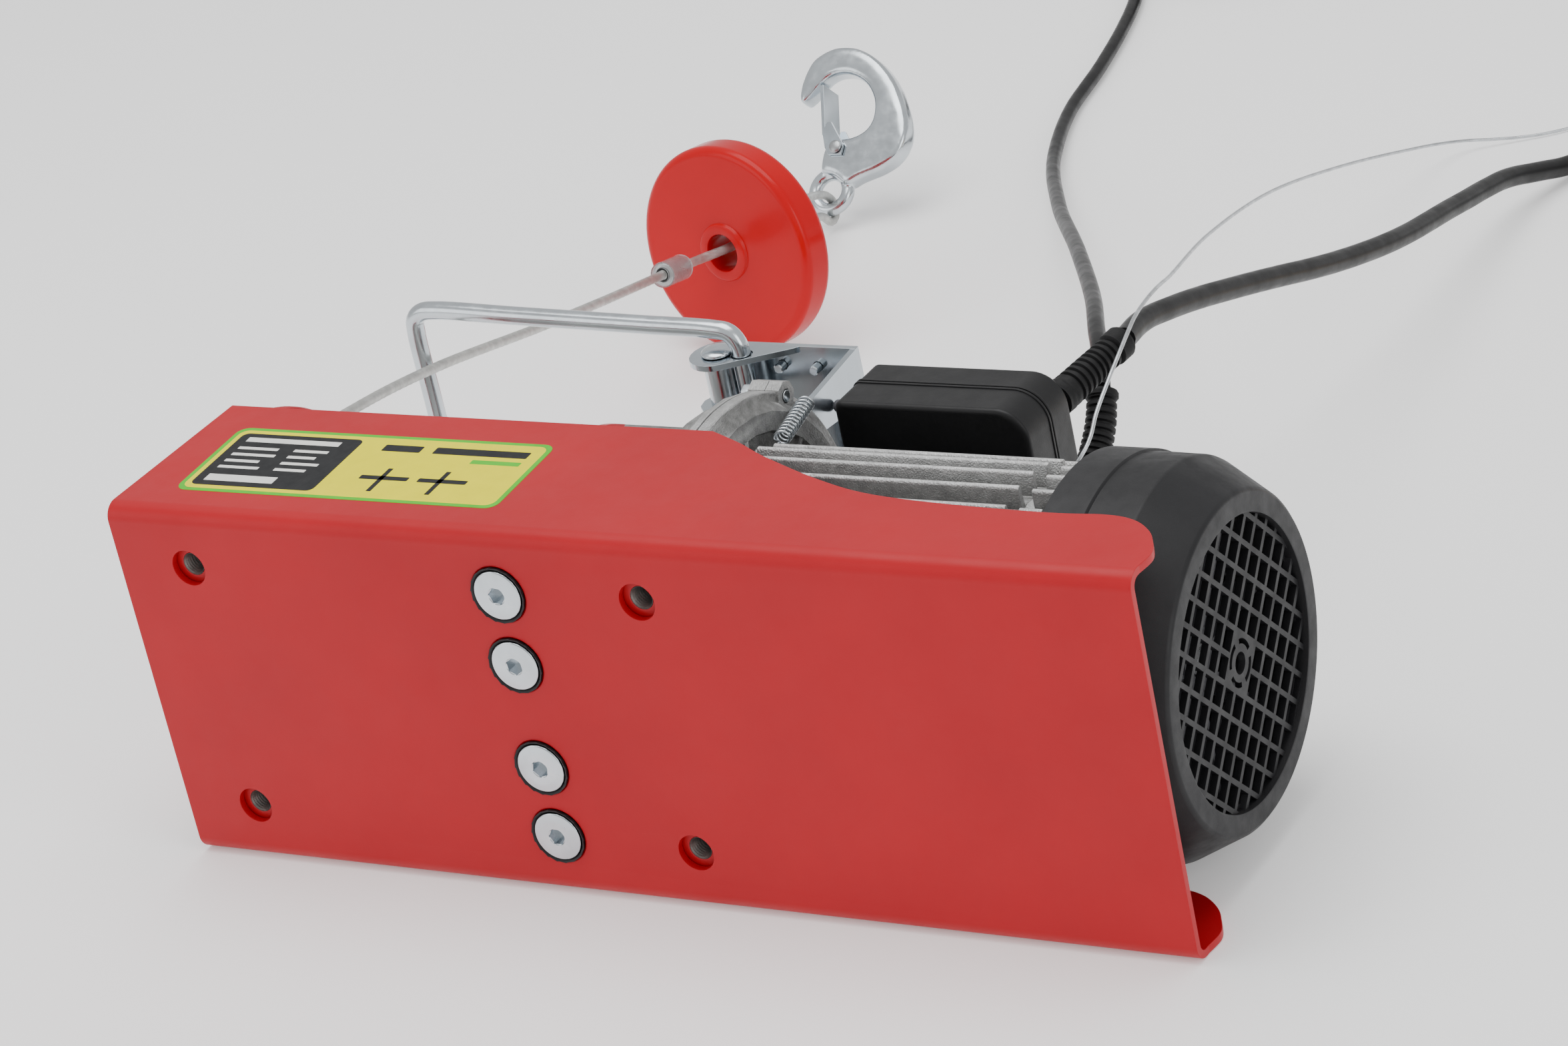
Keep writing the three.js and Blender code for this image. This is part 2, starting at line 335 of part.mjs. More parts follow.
add('strain_relief_mains', tube([[299, 190.8, 70], [299, 195, 70.3], [299, 203.5, 72.8], [298.5, 214.5, 79.6], [298, 223.7, 87.9], [295.9, 232.5, 96.7]], 6.9, 12, 9), RUBBER, 0.75);

// ---- free rope, ferrule, stop weight, hook -------------------------------------------------
const ropePts = [[33.5, 91, 137.4], [32, 100, 136], [30, 112, 133.6], [24.8, 150, 125.8], [19, 195, 114.8], [8, 278, 91], [0, 340, 74.2], [-7.0, 393.6, 60.3], [-7.19, 395.1, 59.9]];
add('rope_free', tube(ropePts, ROPE_D / 2, 8), 0xa8a8a4, 0.45, 0.8);
const FC = v3(-8.6, 406, 57), FU = v3(-0.1244, 0.9589, -0.2547).normalize();
add('rope_ferrule', lathe([[-10.7, 0], [-10.7, 5], [-10, 5.8], [10, 5.8], [10.7, 5], [10.7, 0]], FC, FU, 8), 0xc8c6c2, 0.4, 0.5);
const DN = v3(-0.175, -0.978, 0.115).normalize(), DC = v3(-1.5, 439.6, 51);
const disc = lathe(ring([[1.6, 8.7], [1.6, 13.2], [0, 13.9], [0, 45.8], [-1.2, 48.2], [-3.6, DISC_R], [-13.6, DISC_R], [-16, 48], [-DISC_T, 45.6], [-DISC_T, 8.7]]), DC, DN, 32);
add('stop_weight', disc, 0xcf1420, 0.2);

const EYE = v3(-28.7, 580.4, 17), HU = v3(-0.1047, 0.6704, 0.7346).normalize();
const HW = v3(0.9945, 0.0706, 0.0774).addScaledVector(HU, 0).normalize();
HW.addScaledVector(HU, -HW.dot(HU)).normalize();
const HN = HW.clone().cross(HU).normalize();
const hookM = new THREE.Matrix4().makeBasis(HW, HU, HN).setPosition(EYE);
function hookPlate(pts, lo, hi, bevel = 0, segs = 2) {
  const g = new THREE.ExtrudeGeometry(shapeOf(pts), bevel ? { depth: hi - lo - 2 * bevel, bevelEnabled: true, bevelThickness: bevel, bevelSize: bevel, bevelOffset: -bevel, bevelSegments: segs, steps: 1 } : { depth: hi - lo, bevelEnabled: false, steps: 1 });
  g.translate(0, 0, lo + bevel);
  return g;
}
const hookPts = [[-5, 10.5], [-4.8, 15], [-4.2, 20], [-1, 24.2], [5, 25.2], [11, 25.4], [17.5, 28], [21.3, 34], [21, 44], [15.5, 53], [4.7, 58.6], [-4, 57.6], [-9.6, 52.6], [-14.6, 47], [-18.4, 44.6], [-20.2, 47.6], [-19.4, 56], [-14.8, 66.4], [-6, 71.6], [2, 72.6], [11, 70.6], [20.8, 64.5], [30, 54.6], [36.8, 42], [40.6, 30], [40.8, 22], [36.4, 13.2], [27, 7.6], [15, 3.8], [10.8, 1]];
let eyeRing = lathe(ring(arc(0, 9.3, 2.9, 0, 315, 7).map(([t, r]) => [t, r])), v3(0, 0, 0), v3(0, 0, 1), 24);
let hook = join(hookPlate(hookPts.slice().reverse(), -6, 6, 2.4, 1), eyeRing);
hook = cut(hook, lathe([[-8, 0], [-8, 6.3], [8, 6.3], [8, 0]], v3(0, 0, 0), v3(0, 0, 1), 24), lathe([[-8, 0], [-8, 2.2], [8, 2.2], [8, 0]], v3(4.4, 19.9, 0), v3(0, 0, 1), 12));
hook.applyMatrix4(hookM);
add('hook', hook, ZINC, 0.3, 0.9);
const cheek = [[0.6, 16.4], [7.6, 16], [8.4, 21], [4.5, 27], [0.8, 33], [-1.6, 33], [-3.4, 27], [-1.6, 20]];
let latch = join(hookPlate([[-3.6, 26.6], [-1.8, 26.6], [-5.4, 52.6], [-7.2, 52.2]], -7.9, 7.9), hookPlate(cheek, 6.4, 7.9), hookPlate(cheek, -7.9, -6.4));
latch = cut(latch, lathe([[-9, 0], [-9, 2.2], [9, 2.2], [9, 0]], v3(4.4, 19.9, 0), v3(0, 0, 1), 12));
latch.applyMatrix4(hookM);
add('hook_latch', latch, ZINC, 0.35, 0.9);
const lpin = lathe([[-9.6, 0], [-9.6, 3], [-8.2, 3.2], [-8.2, 1.9], [8.2, 1.9], [8.2, 3.2], [9.6, 3], [9.6, 0]], v3(4.4, 19.9, 0), v3(0, 0, 1), 12);
lpin.applyMatrix4(hookM);
add('latch_pin', lpin, STEEL, 0.35, 0.9);

// the rope's bight: from the ferrule, through the weight, round the hook's eye and back
const CU = EYE.clone().addScaledVector(HU, -9.3);
const at = (h, n) => { const p = CU.clone().addScaledVector(HU, h).addScaledVector(HN, n); return [p.x, p.y, p.z]; };
const F2 = FC.clone().addScaledVector(FU, 11.6);
const side = (p, s) => [p[0] - 0.033 * s, p[1] + 0.256 * s, p[2] + 0.966 * s];
const flat = (p, s) => [p[0] + 0.926 * s, p[1] + 0.204 * s, p[2] + 0.317 * s];
const turned = (p, s) => [p[0] + 0.55 * s, p[1] + 0.28 * s, p[2] + 0.787 * s];
const bight = [flat([F2.x, F2.y, F2.z], 2.4), flat([-8.4, 428, 52.3], 2.4), flat([-3.6, 441, 51], 2.4), flat([-0.5, 454, 49.7], 2.4), flat([-0.2, 460, 48.7], 2.4), turned([-2.4, 474, 45.6], 2.5), side([-14.6, 520, 33.6], 2.7), side([-24.4, 556, 22.4], 3.2), at(5.7, 5), at(5.5, 0)];
for (const a of [36, 72, 108, 144, 180]) bight.push(at(5.5 * Math.cos(a * D2R), -5.5 * Math.sin(a * D2R)));
bight.push(at(-5.4, 6), side([-24.0, 553, 19.6], -3.4), side([-14.6, 520, 31.8], -2.7), turned([-2.4, 474, 45.6], -2.5), flat([-0.2, 460, 48.7], -2.4), flat([-0.5, 454, 49.7], -2.4), flat([-3.6, 441, 51], -2.4), flat([-8.4, 428, 52.3], -2.4), flat([F2.x, F2.y, F2.z], -2.4));
add('rope_bight', tube(bight, ROPE_D / 2, 8, 12, 20), 0xa8a8a4, 0.45, 0.8);

// ---- mains lead ----------------------------------------------------------------------------
const MC = [30.7, 928], MR = 45.5, MCOIL = [35, 49, 14];                 // coil centre, outer turn, ring inner, outer, height
const leadPts = [[295.7, 233.2, 97.4], [294.6, 236.6, 99.9], [291.4, 244.2, 102.8], [285, 255.5, 104.2], [275.8, 272.6, 103.4], [251.5, 317.2, 93.7], [190.2, 420, 66.2], [113.6, 545, 29.9], [57.4, 648, 7.6], [34.9, 711.7, 4], [26.4, 761.6, 4], [15.4, 813.3, 4], [3.6, 856, 4], [-7.2, 882, 4], [-13.2, 893, 4], [MC[0] - MR, 900.5, 4]];
add('mains_lead', tube(leadPts, LEAD_D / 2, 8, 18), RUBBER, 0.5);
add('mains_coil', lathe(ring([[0.3, MCOIL[0]], [0.3, MCOIL[1]], [MCOIL[2], MCOIL[1]], [MCOIL[2], MCOIL[0]]]), v3(MC[0], MC[1], 0), v3(0, 0, 1), 32), RUBBER, 0.5);
const PLX = MC[0] + 28, PLY = MC[1] + MR, PLZ = 19.4;
let plug = join(lathe([[0, 0], [0, 4], [22, 6], [26, 12], [30, 17], [38, 19], [52, 19], [56, 18.2], [56, 0]], v3(0, 0, 0), v3(1, 0, 0), 20),
  cylX(55, 75, -9.5, 0, 2.4, 10), cylX(55, 75, 9.5, 0, 2.4, 10));
plug.translate(PLX, PLY, PLZ);
// the relief of the plug drops to the lead's height
{
  const p = plug.attributes.position;
  for (let i = 0; i < p.count; i++) { const t = Math.min(1, Math.max(0, (PLX + 26 - p.getX(i)) / 26)); p.setZ(i, p.getZ(i) - t * t * (3 - 2 * t) * (PLZ - 10.5)); }
}
add('mains_plug', plug, RUBBER, 0.5);

// ---- pendant cable and handset ---------------------------------------------------------------
const PC = [420, 690], PR = 58.5, PCOIL = [45, 63, 18];
const pendPts = [[309.25, 233.3, 119.15], [309.3, 237.5, 119.4], [306.9, 243, 118.6], [305.5, 285, 108.4], [307.3, 350, 88], [310.7, 415, 66.5], [311.8, 475, 49.5], [308.4, 550, 32], [308.8, 612, 17.8], [319.3, 650, 6.4], [331, 684, 4.8], [346.5, 718, 4.8], [364, 741, 4.8], [384.4, PC[1] + PR, 4.8]];
add('pendant_cable', tube(pendPts, PEND_D / 2, 8, 22), RUBBER, 0.6);
add('pendant_coil', lathe(ring([[0.3, PCOIL[0]], [0.3, PCOIL[1]], [PCOIL[2], PCOIL[1]], [PCOIL[2], PCOIL[0]]]), v3(PC[0], PC[1], 0), v3(0, 0, 1), 32), RUBBER, 0.6);
const HX = PC[0] + PR, HY1 = 652, HY0 = 524;                              // handset axis X, cable end, far end
const hs = rrect(HX - 26, HY0, HX + 26, 634, [14, 14, 8, 8]);
const hsIn = rrect(HX - 23.5, HY0 + 2.5, HX + 23.5, 631.5, [11.5, 11.5, 6, 6]);
let back = cut(prism(hs, 'XY', 0.4, 17.8), prism(hsIn, 'XY', 3, 19));
back = join(back, cut(lathe([[0, 0], [0, 5.4], [17, 7.4], [19, 9], [20, 9], [20, 0]], v3(HX, HY1, 9.6), v3(0, -1, 0), 14), box(HX - 10, HX + 10, HY1 - 26, HY1 + 1, 17.8, 22)));
add('pendant_back_shell', back, 0xe0b020, 0.5);
const BU = [HX, 560], BD = [HX, 584], ES = [HX, 612];
let front = cut(prism(hs, 'XY', 18.1, 33), prism(hsIn, 'XY', 17, 30.5), cylZ(29, 34, ...BU, 9.4, 20), cylZ(29, 34, ...BD, 9.4, 20), cylZ(29, 34, ...ES, 7.4, 20));
add('pendant_front_shell', front, 0xe0b020, 0.5);
for (const [n, c] of [['button_up', BU], ['button_down', BD]])
  add(n, lathe([[22, 0], [22, 4], [26.2, 4], [26.2, 8.9], [36.6, 8.9], [37.4, 8], [37.4, 0]], v3(...c, 0), v3(0, 0, 1), 20), 0x202022, 0.5);
add('emergency_stop', lathe([[20, 0], [20, 4], [24, 6.9], [37.4, 6.9], [37.4, 13], [41, 13], [43.6, 10.6], [44.4, 6], [44.4, 0]], v3(...ES, 0), v3(0, 0, 1), 20), 0xd01818, 0.4);

// ---- thin steel wire that carries the handset's pull ------------------------------------------
const wirePts = [[307.1, 163, 85], [313, 164.5, 95], [319.2, 168, 102.1], [318.4, 188, 113], [317.0, 217.5, 124.8], [312.4, 240, 126.4], [307.1, 267.5, 123.6], [299.1, 295, 115.8], [276.5, 375, 96.3], [254.4, 480, 68], [246.3, 560, 43.3], [247, 625, 22.5], [255.9, 675, 6.4], [280.9, 692, 1.6], [301.4, 706, 1.1], [320, 738, 1.1], [352, 770, 1.1], [410, 784, 1.1], [465, 764, 1.1], [492, 722, 1.1], [499, 680, 1.1], [496, 652, 2.4], [494, 634.6, 6.5]];
add('support_wire', tube(wirePts, WIRE_D / 2, 5, 14, 20), 0xc8ccd0, 0.35, 0.9);

export default root;
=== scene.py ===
import bpy, bmesh, math, json
from mathutils import Vector, Matrix, Quaternion


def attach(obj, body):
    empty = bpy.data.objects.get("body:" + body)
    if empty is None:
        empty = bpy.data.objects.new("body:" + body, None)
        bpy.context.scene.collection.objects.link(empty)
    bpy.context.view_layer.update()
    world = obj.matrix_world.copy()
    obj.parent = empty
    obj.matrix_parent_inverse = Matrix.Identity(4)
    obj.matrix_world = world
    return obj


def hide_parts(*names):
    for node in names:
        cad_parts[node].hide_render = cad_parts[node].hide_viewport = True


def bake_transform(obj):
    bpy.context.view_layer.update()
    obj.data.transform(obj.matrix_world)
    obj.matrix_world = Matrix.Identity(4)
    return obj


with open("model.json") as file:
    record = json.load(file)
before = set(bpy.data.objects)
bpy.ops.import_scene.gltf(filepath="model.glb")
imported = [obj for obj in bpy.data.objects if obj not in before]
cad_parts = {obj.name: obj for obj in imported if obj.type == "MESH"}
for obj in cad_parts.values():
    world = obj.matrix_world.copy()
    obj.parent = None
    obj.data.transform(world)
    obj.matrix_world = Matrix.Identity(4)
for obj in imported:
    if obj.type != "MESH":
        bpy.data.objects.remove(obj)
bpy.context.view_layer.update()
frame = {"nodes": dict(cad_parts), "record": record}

NODES = frame["nodes"]
OX, OY = 225.32, 325.25
AZ = 75.0


def P(p):
    return Vector(((p[0] - OX) / 1000, (p[1] - OY) / 1000, p[2] / 1000))


# ------------------------------------------------------------------ camera
cam_data = bpy.data.cameras.new("camera")
cam_data.lens, cam_data.sensor_width = 106.35, 36.0
cam_data.clip_start, cam_data.clip_end = 0.05, 30
cam = bpy.data.objects.new("camera", cam_data)
bpy.context.collection.objects.link(cam)
right, up, back = Vector((0.8589, 0.4739, -0.1944)).normalized(), Vector((-0.0557, 0.4637, 0.8842)), Vector((0.5092, -0.7486, 0.4247)).normalized()
up = back.cross(right).normalized()
cam.matrix_world = Matrix(((right.x, up.x, back.x, 1.0956 - OX / 1000), (right.y, up.y, back.y, -1.1733 - OY / 1000), (right.z, up.z, back.z, 0.8275), (0, 0, 0, 1)))
bpy.context.scene.camera = cam


# ------------------------------------------------------------------ materials
def srgb(r, g, b):
    f = lambda c: ((c / 255 + 0.055) / 1.055) ** 2.4 if c / 255 > 0.04045 else c / 255 / 12.92
    return (f(r), f(g), f(b))


def mat(name, base, rough=0.5, metal=0.0, var=0.10, vscale=35, rvar=0.10, rscale=90, bump=0.15, bscale=900, bdist=0.0002,
        wear=None, wear_amt=0.5, coat=0.0, stretch=None, dark=0.0, sheen=0.0, spec=None):
    m = bpy.data.materials.new(name)
    m.use_nodes = True
    n, l = m.node_tree.nodes, m.node_tree.links
    b = n["Principled BSDF"]
    b.inputs["Metallic"].default_value = metal
    b.inputs["Coat Weight"].default_value = coat
    b.inputs["Coat Roughness"].default_value = 0.12
    if spec is not None:
        b.inputs["Specular IOR Level"].default_value = spec
    tc = n.new("ShaderNodeTexCoord")
    mp = n.new("ShaderNodeMapping")
    if stretch:
        mp.inputs["Scale"].default_value = stretch
    l.new(tc.outputs["Object"], mp.inputs["Vector"])

    def noise(scale, detail=4.0, rough_=0.55):
        t = n.new("ShaderNodeTexNoise")
        t.inputs["Scale"].default_value = scale
        t.inputs["Detail"].default_value = detail
        t.inputs["Roughness"].default_value = rough_
        l.new(mp.outputs["Vector"], t.inputs["Vector"])
        return t.outputs["Fac"]

    ramp = n.new("ShaderNodeValToRGB")
    lo = tuple(max(0, c * (1 - var)) for c in base)
    hi = tuple(min(1, c * (1 + var)) for c in base)
    ramp.color_ramp.elements[0].position, ramp.color_ramp.elements[1].position = 0.3, 0.72
    ramp.color_ramp.elements[0].color, ramp.color_ramp.elements[1].color = (*lo, 1), (*hi, 1)
    l.new(noise(vscale, 5), ramp.inputs["Fac"])
    colour = ramp.outputs["Color"]
    if wear is not None:
        g = n.new("ShaderNodeNewGeometry")
        wr = n.new("ShaderNodeValToRGB")
        wr.color_ramp.elements[0].position, wr.color_ramp.elements[1].position = 0.515, 0.60
        wr.color_ramp.elements[1].color = (wear_amt, wear_amt, wear_amt, 1)
        l.new(g.outputs["Pointiness"], wr.inputs["Fac"])
        mul = n.new("ShaderNodeMath")
        mul.operation = "MULTIPLY"
        l.new(wr.outputs["Color"], mul.inputs[0])
        l.new(noise(160, 6, 0.7), mul.inputs[1])
        mx = n.new("ShaderNodeMix")
        mx.data_type = "RGBA"
        l.new(mul.outputs[0], mx.inputs[0])
        l.new(colour, mx.inputs[6])
        mx.inputs[7].default_value = (*wear, 1)
        colour = mx.outputs[2]
    l.new(colour, b.inputs["Base Color"])
    mr = n.new("ShaderNodeMapRange")
    mr.inputs["From Min"].default_value, mr.inputs["From Max"].default_value = 0.3, 0.7
    mr.inputs["To Min"].default_value, mr.inputs["To Max"].default_value = max(0.03, rough - rvar), min(1, rough + rvar)
    l.new(noise(rscale, 5, 0.6), mr.inputs["Value"])
    l.new(mr.outputs["Result"], b.inputs["Roughness"])
    bp = n.new("ShaderNodeBump")
    bp.inputs["Strength"].default_value = bump
    bp.inputs["Distance"].default_value = bdist
    l.new(noise(bscale, 3), bp.inputs["Height"])
    l.new(bp.outputs["Normal"], b.inputs["Normal"])
    return m


M = {}
M["red"] = mat("red_powder_coat", (0.41, 0.002, 0.009), 0.42, 0, 0.06, 18, 0.05, 60, 0.10, 1400, 0.0002, wear=(0.5, 0.05, 0.05), wear_amt=0.3, spec=0.25)
M["alu"] = mat("cast_aluminium", (0.25, 0.25, 0.245), 0.46, 0.9, 0.30, 260, 0.16, 700, 0.9, 1500, 0.0005, wear=(0.9, 0.9, 0.9), wear_amt=1.0)
M["alu_dark"] = mat("cast_aluminium_shadow", (0.14, 0.14, 0.14), 0.55, 0.7, 0.25, 120, 0.12, 300, 0.5, 1200, 0.0004, wear=(0.6, 0.6, 0.6), wear_amt=0.6)
M["zinc"] = mat("zinc_plate", (0.56, 0.60, 0.63), 0.20, 1.0, 0.10, 70, 0.08, 240, 0.06, 2200, 0.0001, wear=(0.7, 0.72, 0.74), wear_amt=0.3)
M["zinc_sheet"] = mat("zinc_sheet", (0.46, 0.51, 0.55), 0.19, 1.0, 0.12, 25, 0.08, 110, 0.06, 900, 0.0001, wear=(0.7, 0.72, 0.75), wear_amt=0.5, stretch=(1, 1, 0.25))
M["steel"] = mat("machined_steel", (0.40, 0.41, 0.42), 0.30, 0.95, 0.12, 120, 0.12, 400, 0.2, 2600, 0.0001, stretch=(0.1, 1, 1))
M["copper"] = mat("copper_winding", (0.42, 0.19, 0.08), 0.35, 0.8, 0.2, 300, 0.1, 300, 0.5, 1200, 0.0004)
M["black"] = mat("black_plastic", srgb(22, 22, 24), 0.50, 0, 0.16, 40, 0.08, 140, 0.22, 2400, 0.00018, wear=srgb(80, 80, 82), wear_amt=0.3, spec=0.30)
M["black_satin"] = mat("black_box_plastic", srgb(17, 17, 18), 0.44, 0, 0.15, 30, 0.07, 100, 0.26, 2000, 0.00018, wear=srgb(70, 70, 72), wear_amt=0.25, spec=0.28)
M["grey"] = mat("grey_plastic", (0.10, 0.10, 0.11), 0.5, 0, 0.12, 60, 0.08, 150, 0.2, 1500)
M["rubber"] = mat("gland_rubber", srgb(16, 16, 17), 0.60, 0, 0.18, 60, 0.10, 160, 0.30, 1300, 0.0003, wear=srgb(60, 60, 61), wear_amt=0.25, spec=0.28)
M["cable"] = mat("cable_jacket", srgb(12, 12, 13), 0.42, 0, 0.16, 50, 0.08, 120, 0.14, 1600, 0.0002, wear=srgb(60, 60, 62), wear_amt=0.2, spec=0.32)
M["rope"] = mat("wire_rope", (0.50, 0.50, 0.48), 0.42, 0.75, 0.20, 260, 0.12, 500, 0.4, 2600, 0.0002, wear=(0.75, 0.75, 0.73), wear_amt=0.7)
M["thin"] = mat("thin_steel_wire", (0.52, 0.54, 0.56), 0.3, 0.9, 0.2, 200, 0.1, 300, 0.2, 3000)
M["ferrule"] = mat("ferrule_metal", (0.62, 0.61, 0.59), 0.32, 0.85, 0.14, 140, 0.1, 300, 0.3, 1500, 0.0003, wear=(0.8, 0.8, 0.8), wear_amt=0.5)
M["gloss_red"] = mat("glossy_red", (0.50, 0.0, 0.004), 0.22, 0, 0.04, 22, 0.04, 50, 0.03, 700, 0.0002, wear=(0.55, 0.02, 0.03), wear_amt=0.2, spec=0.20)
M["white"] = mat("capacitor_can", (0.68, 0.68, 0.66), 0.4, 0, 0.05)
M["yellow"] = mat("handset_yellow", srgb(228, 172, 26), 0.38, 0, 0.07, 30, 0.07, 120, 0.2, 1800, 0.0002, wear=srgb(240, 205, 110), wear_amt=0.3)
M["stop"] = mat("stop_red", srgb(200, 22, 24), 0.3, 0, 0.06, 30, 0.05, 100, 0.1, 900, 0.0002, coat=0.3)
M["label_green"] = mat("label_green", (0.07, 0.50, 0.01), 0.45, 0, 0.08, 120, 0.06, 200, 0.05, 900, spec=0.2)
M["label_yellow"] = mat("label_yellow", (0.80, 0.72, 0.0), 0.5, 0, 0.04, 120, 0.06, 200, 0.05, 900, spec=0.12)
M["label_grey"] = mat("label_grey", srgb(24, 25, 27), 0.45, 0, 0.10, 120, 0.06, 200, 0.05, 900, spec=0.2)
M["label_white"] = mat("label_white", srgb(226, 226, 222), 0.4, 0, 0.04, 120, 0.06, 200, 0.05, 900)
M["thread"] = mat("thread_steel", (0.16, 0.15, 0.14), 0.4, 0.8, 0.2, 300, 0.1, 400, 0.3, 1500)
sleeve = mat("clear_sleeve", (0.82, 0.83, 0.84), 0.12, 0, 0.05, 90, 0.05, 120, 0.15, 700, 0.0004)
sleeve.node_tree.nodes["Principled BSDF"].inputs["Transmission Weight"].default_value = 0.9
sleeve.node_tree.nodes["Principled BSDF"].inputs["IOR"].default_value = 1.3
M["sleeve"] = sleeve


# ------------------------------------------------------------------ mesh helpers (all points in the CAD's mm, before recentring)
def new_obj(name, verts, faces, material):
    me = bpy.data.meshes.new(name)
    me.from_pydata([P(v) for v in verts], [], faces)
    bm = bmesh.new()
    bm.from_mesh(me)
    bmesh.ops.remove_doubles(bm, verts=bm.verts, dist=1e-6)
    bmesh.ops.recalc_face_normals(bm, faces=bm.faces)
    bm.to_mesh(me)
    bm.free()
    o = bpy.data.objects.new(name, me)
    bpy.context.collection.objects.link(o)
    if material:
        me.materials.append(M[material])
    return o


def bake(o, angle=35, weighted=True):
    """Applies the piece's modifiers and sets smooth shading with sharp edges over an angle."""
    if weighted:
        for p in o.data.polygons:
            p.use_smooth = True
    dg = bpy.context.evaluated_depsgraph_get()
    me = bpy.data.meshes.new_from_object(o.evaluated_get(dg))
    o.modifiers.clear()
    o.data = me
    for p in me.polygons:
        p.use_smooth = True
    me.set_sharp_from_angle(angle=math.radians(angle))
    if weighted:
        w = o.modifiers.new("weighted", "WEIGHTED_NORMAL")
        w.keep_sharp = True
        dg = bpy.context.evaluated_depsgraph_get()
        me = bpy.data.meshes.new_from_object(o.evaluated_get(dg))
        o.modifiers.clear()
        o.data = me
    return o


def bevel(o, width, segs=2, angle=35, clamp=True):
    b = o.modifiers.new("bevel", "BEVEL")
    b.width = width / 1000
    b.segments = segs
    b.limit_method = "ANGLE"
    b.angle_limit = math.radians(angle)
    b.use_clamp_overlap = clamp
    b.miter_outer = "MITER_ARC"
    return o


def circ(cx, cy, r, n=24, ph=0.0):
    return [(cx + r * math.cos(ph + 2 * math.pi * i / n), cy + r * math.sin(ph + 2 * math.pi * i / n)) for i in range(n)]


def arc(cx, cy, r, a0, a1, n):
    return [(cx + r * math.cos(math.radians(a0 + (a1 - a0) * i / n)), cy + r * math.sin(math.radians(a0 + (a1 - a0) * i / n))) for i in range(n + 1)]


def prism(name, pts, plane, lo, hi, material=None):
    f = {"XY": lambda a, b, d: (a, b, d), "YZ": lambda a, b, d: (d, a, b), "XZ": lambda a, b, d: (a, d, b)}[plane]
    k = len(pts)
    vs = [f(a, b, lo) for a, b in pts] + [f(a, b, hi) for a, b in pts]
    fs = [list(range(k))[::-1], list(range(k, 2 * k))] + [[i, (i + 1) % k, k + (i + 1) % k, k + i] for i in range(k)]
    return new_obj(name, vs, fs, material)


def frame_of(d):
    d = Vector(d).normalized()
    a = Vector((0, 0, 1)) if abs(d.z) < 0.9 else Vector((1, 0, 0))
    u = a.cross(d).normalized()
    return d, u, d.cross(u)


def lathe(name, prof, p, d, material=None, seg=96, closed=False):
    """prof [(t, r)] about the axis from p along d. Open profiles start and end on the axis."""
    d, u, v = frame_of(d)
    p = Vector(p)
    vs, fs, rows = [], [], []
    for t, r in prof:
        if r < 1e-9:
            rows.append([len(vs)])
            vs.append(p + d * t)
        else:
            rows.append(list(range(len(vs), len(vs) + seg)))
            vs += [p + d * t + (u * math.cos(2 * math.pi * i / seg) + v * math.sin(2 * math.pi * i / seg)) * r for i in range(seg)]
    pairs = list(zip(rows, rows[1:])) + ([(rows[-1], rows[0])] if closed else [])
    for a, b in pairs:
        for i in range(seg):
            j = (i + 1) % seg
            if len(a) == 1 and len(b) == 1:
                continue
            if len(a) == 1:
                fs.append([a[0], b[i], b[j]])
            elif len(b) == 1:
                fs.append([a[i], b[0], a[j]])
            else:
                fs.append([a[i], b[i], b[j], a[j]])
    return new_obj(name, vs, fs, material)


def catmull(pts, step):
    """The centripetal Catmull-Rom curve through pts, sampled about every step mm."""
    q = [Vector(p) for p in pts]
    q = [q[0] * 2 - q[1]] + q + [q[-1] * 2 - q[-2]]
    fine = []
    for i in range(1, len(q) - 2):
        p0, p1, p2, p3 = q[i - 1:i + 3]
        d0, d1, d2 = max((p1 - p0).length ** 0.5, 1e-4), max((p2 - p1).length ** 0.5, 1e-4), max((p3 - p2).length ** 0.5, 1e-4)
        t1 = (p1 - p0) / d0 - (p2 - p0) / (d0 + d1) + (p2 - p1) / d1
        t2 = (p2 - p1) / d1 - (p3 - p1) / (d1 + d2) + (p3 - p2) / d2
        t1, t2 = t1 * d1, t2 * d1
        m = max(6, int((p2 - p1).length / 0.5))
        for k in range(m):
            s = k / m
            fine.append(p1 * (2 * s**3 - 3 * s**2 + 1) + t1 * (s**3 - 2 * s**2 + s) + p2 * (-2 * s**3 + 3 * s**2) + t2 * (s**3 - s**2))
    fine.append(q[-2])
    return resample(fine, step)


def resample(fine, step):
    cum = [0.0]
    for a, b in zip(fine, fine[1:]):
        cum.append(cum[-1] + (b - a).length)
    n = max(2, round(cum[-1] / step))
    out, j = [], 0
    for i in range(n + 1):
        s = cum[-1] * i / n
        while j < len(cum) - 2 and cum[j + 1] < s:
            j += 1
        f = (s - cum[j]) / max(cum[j + 1] - cum[j], 1e-9)
        out.append(fine[j].lerp(fine[j + 1], min(1, max(0, f))))
    return out


def length(pts):
    return sum((b - a).length for a, b in zip(pts, pts[1:]))


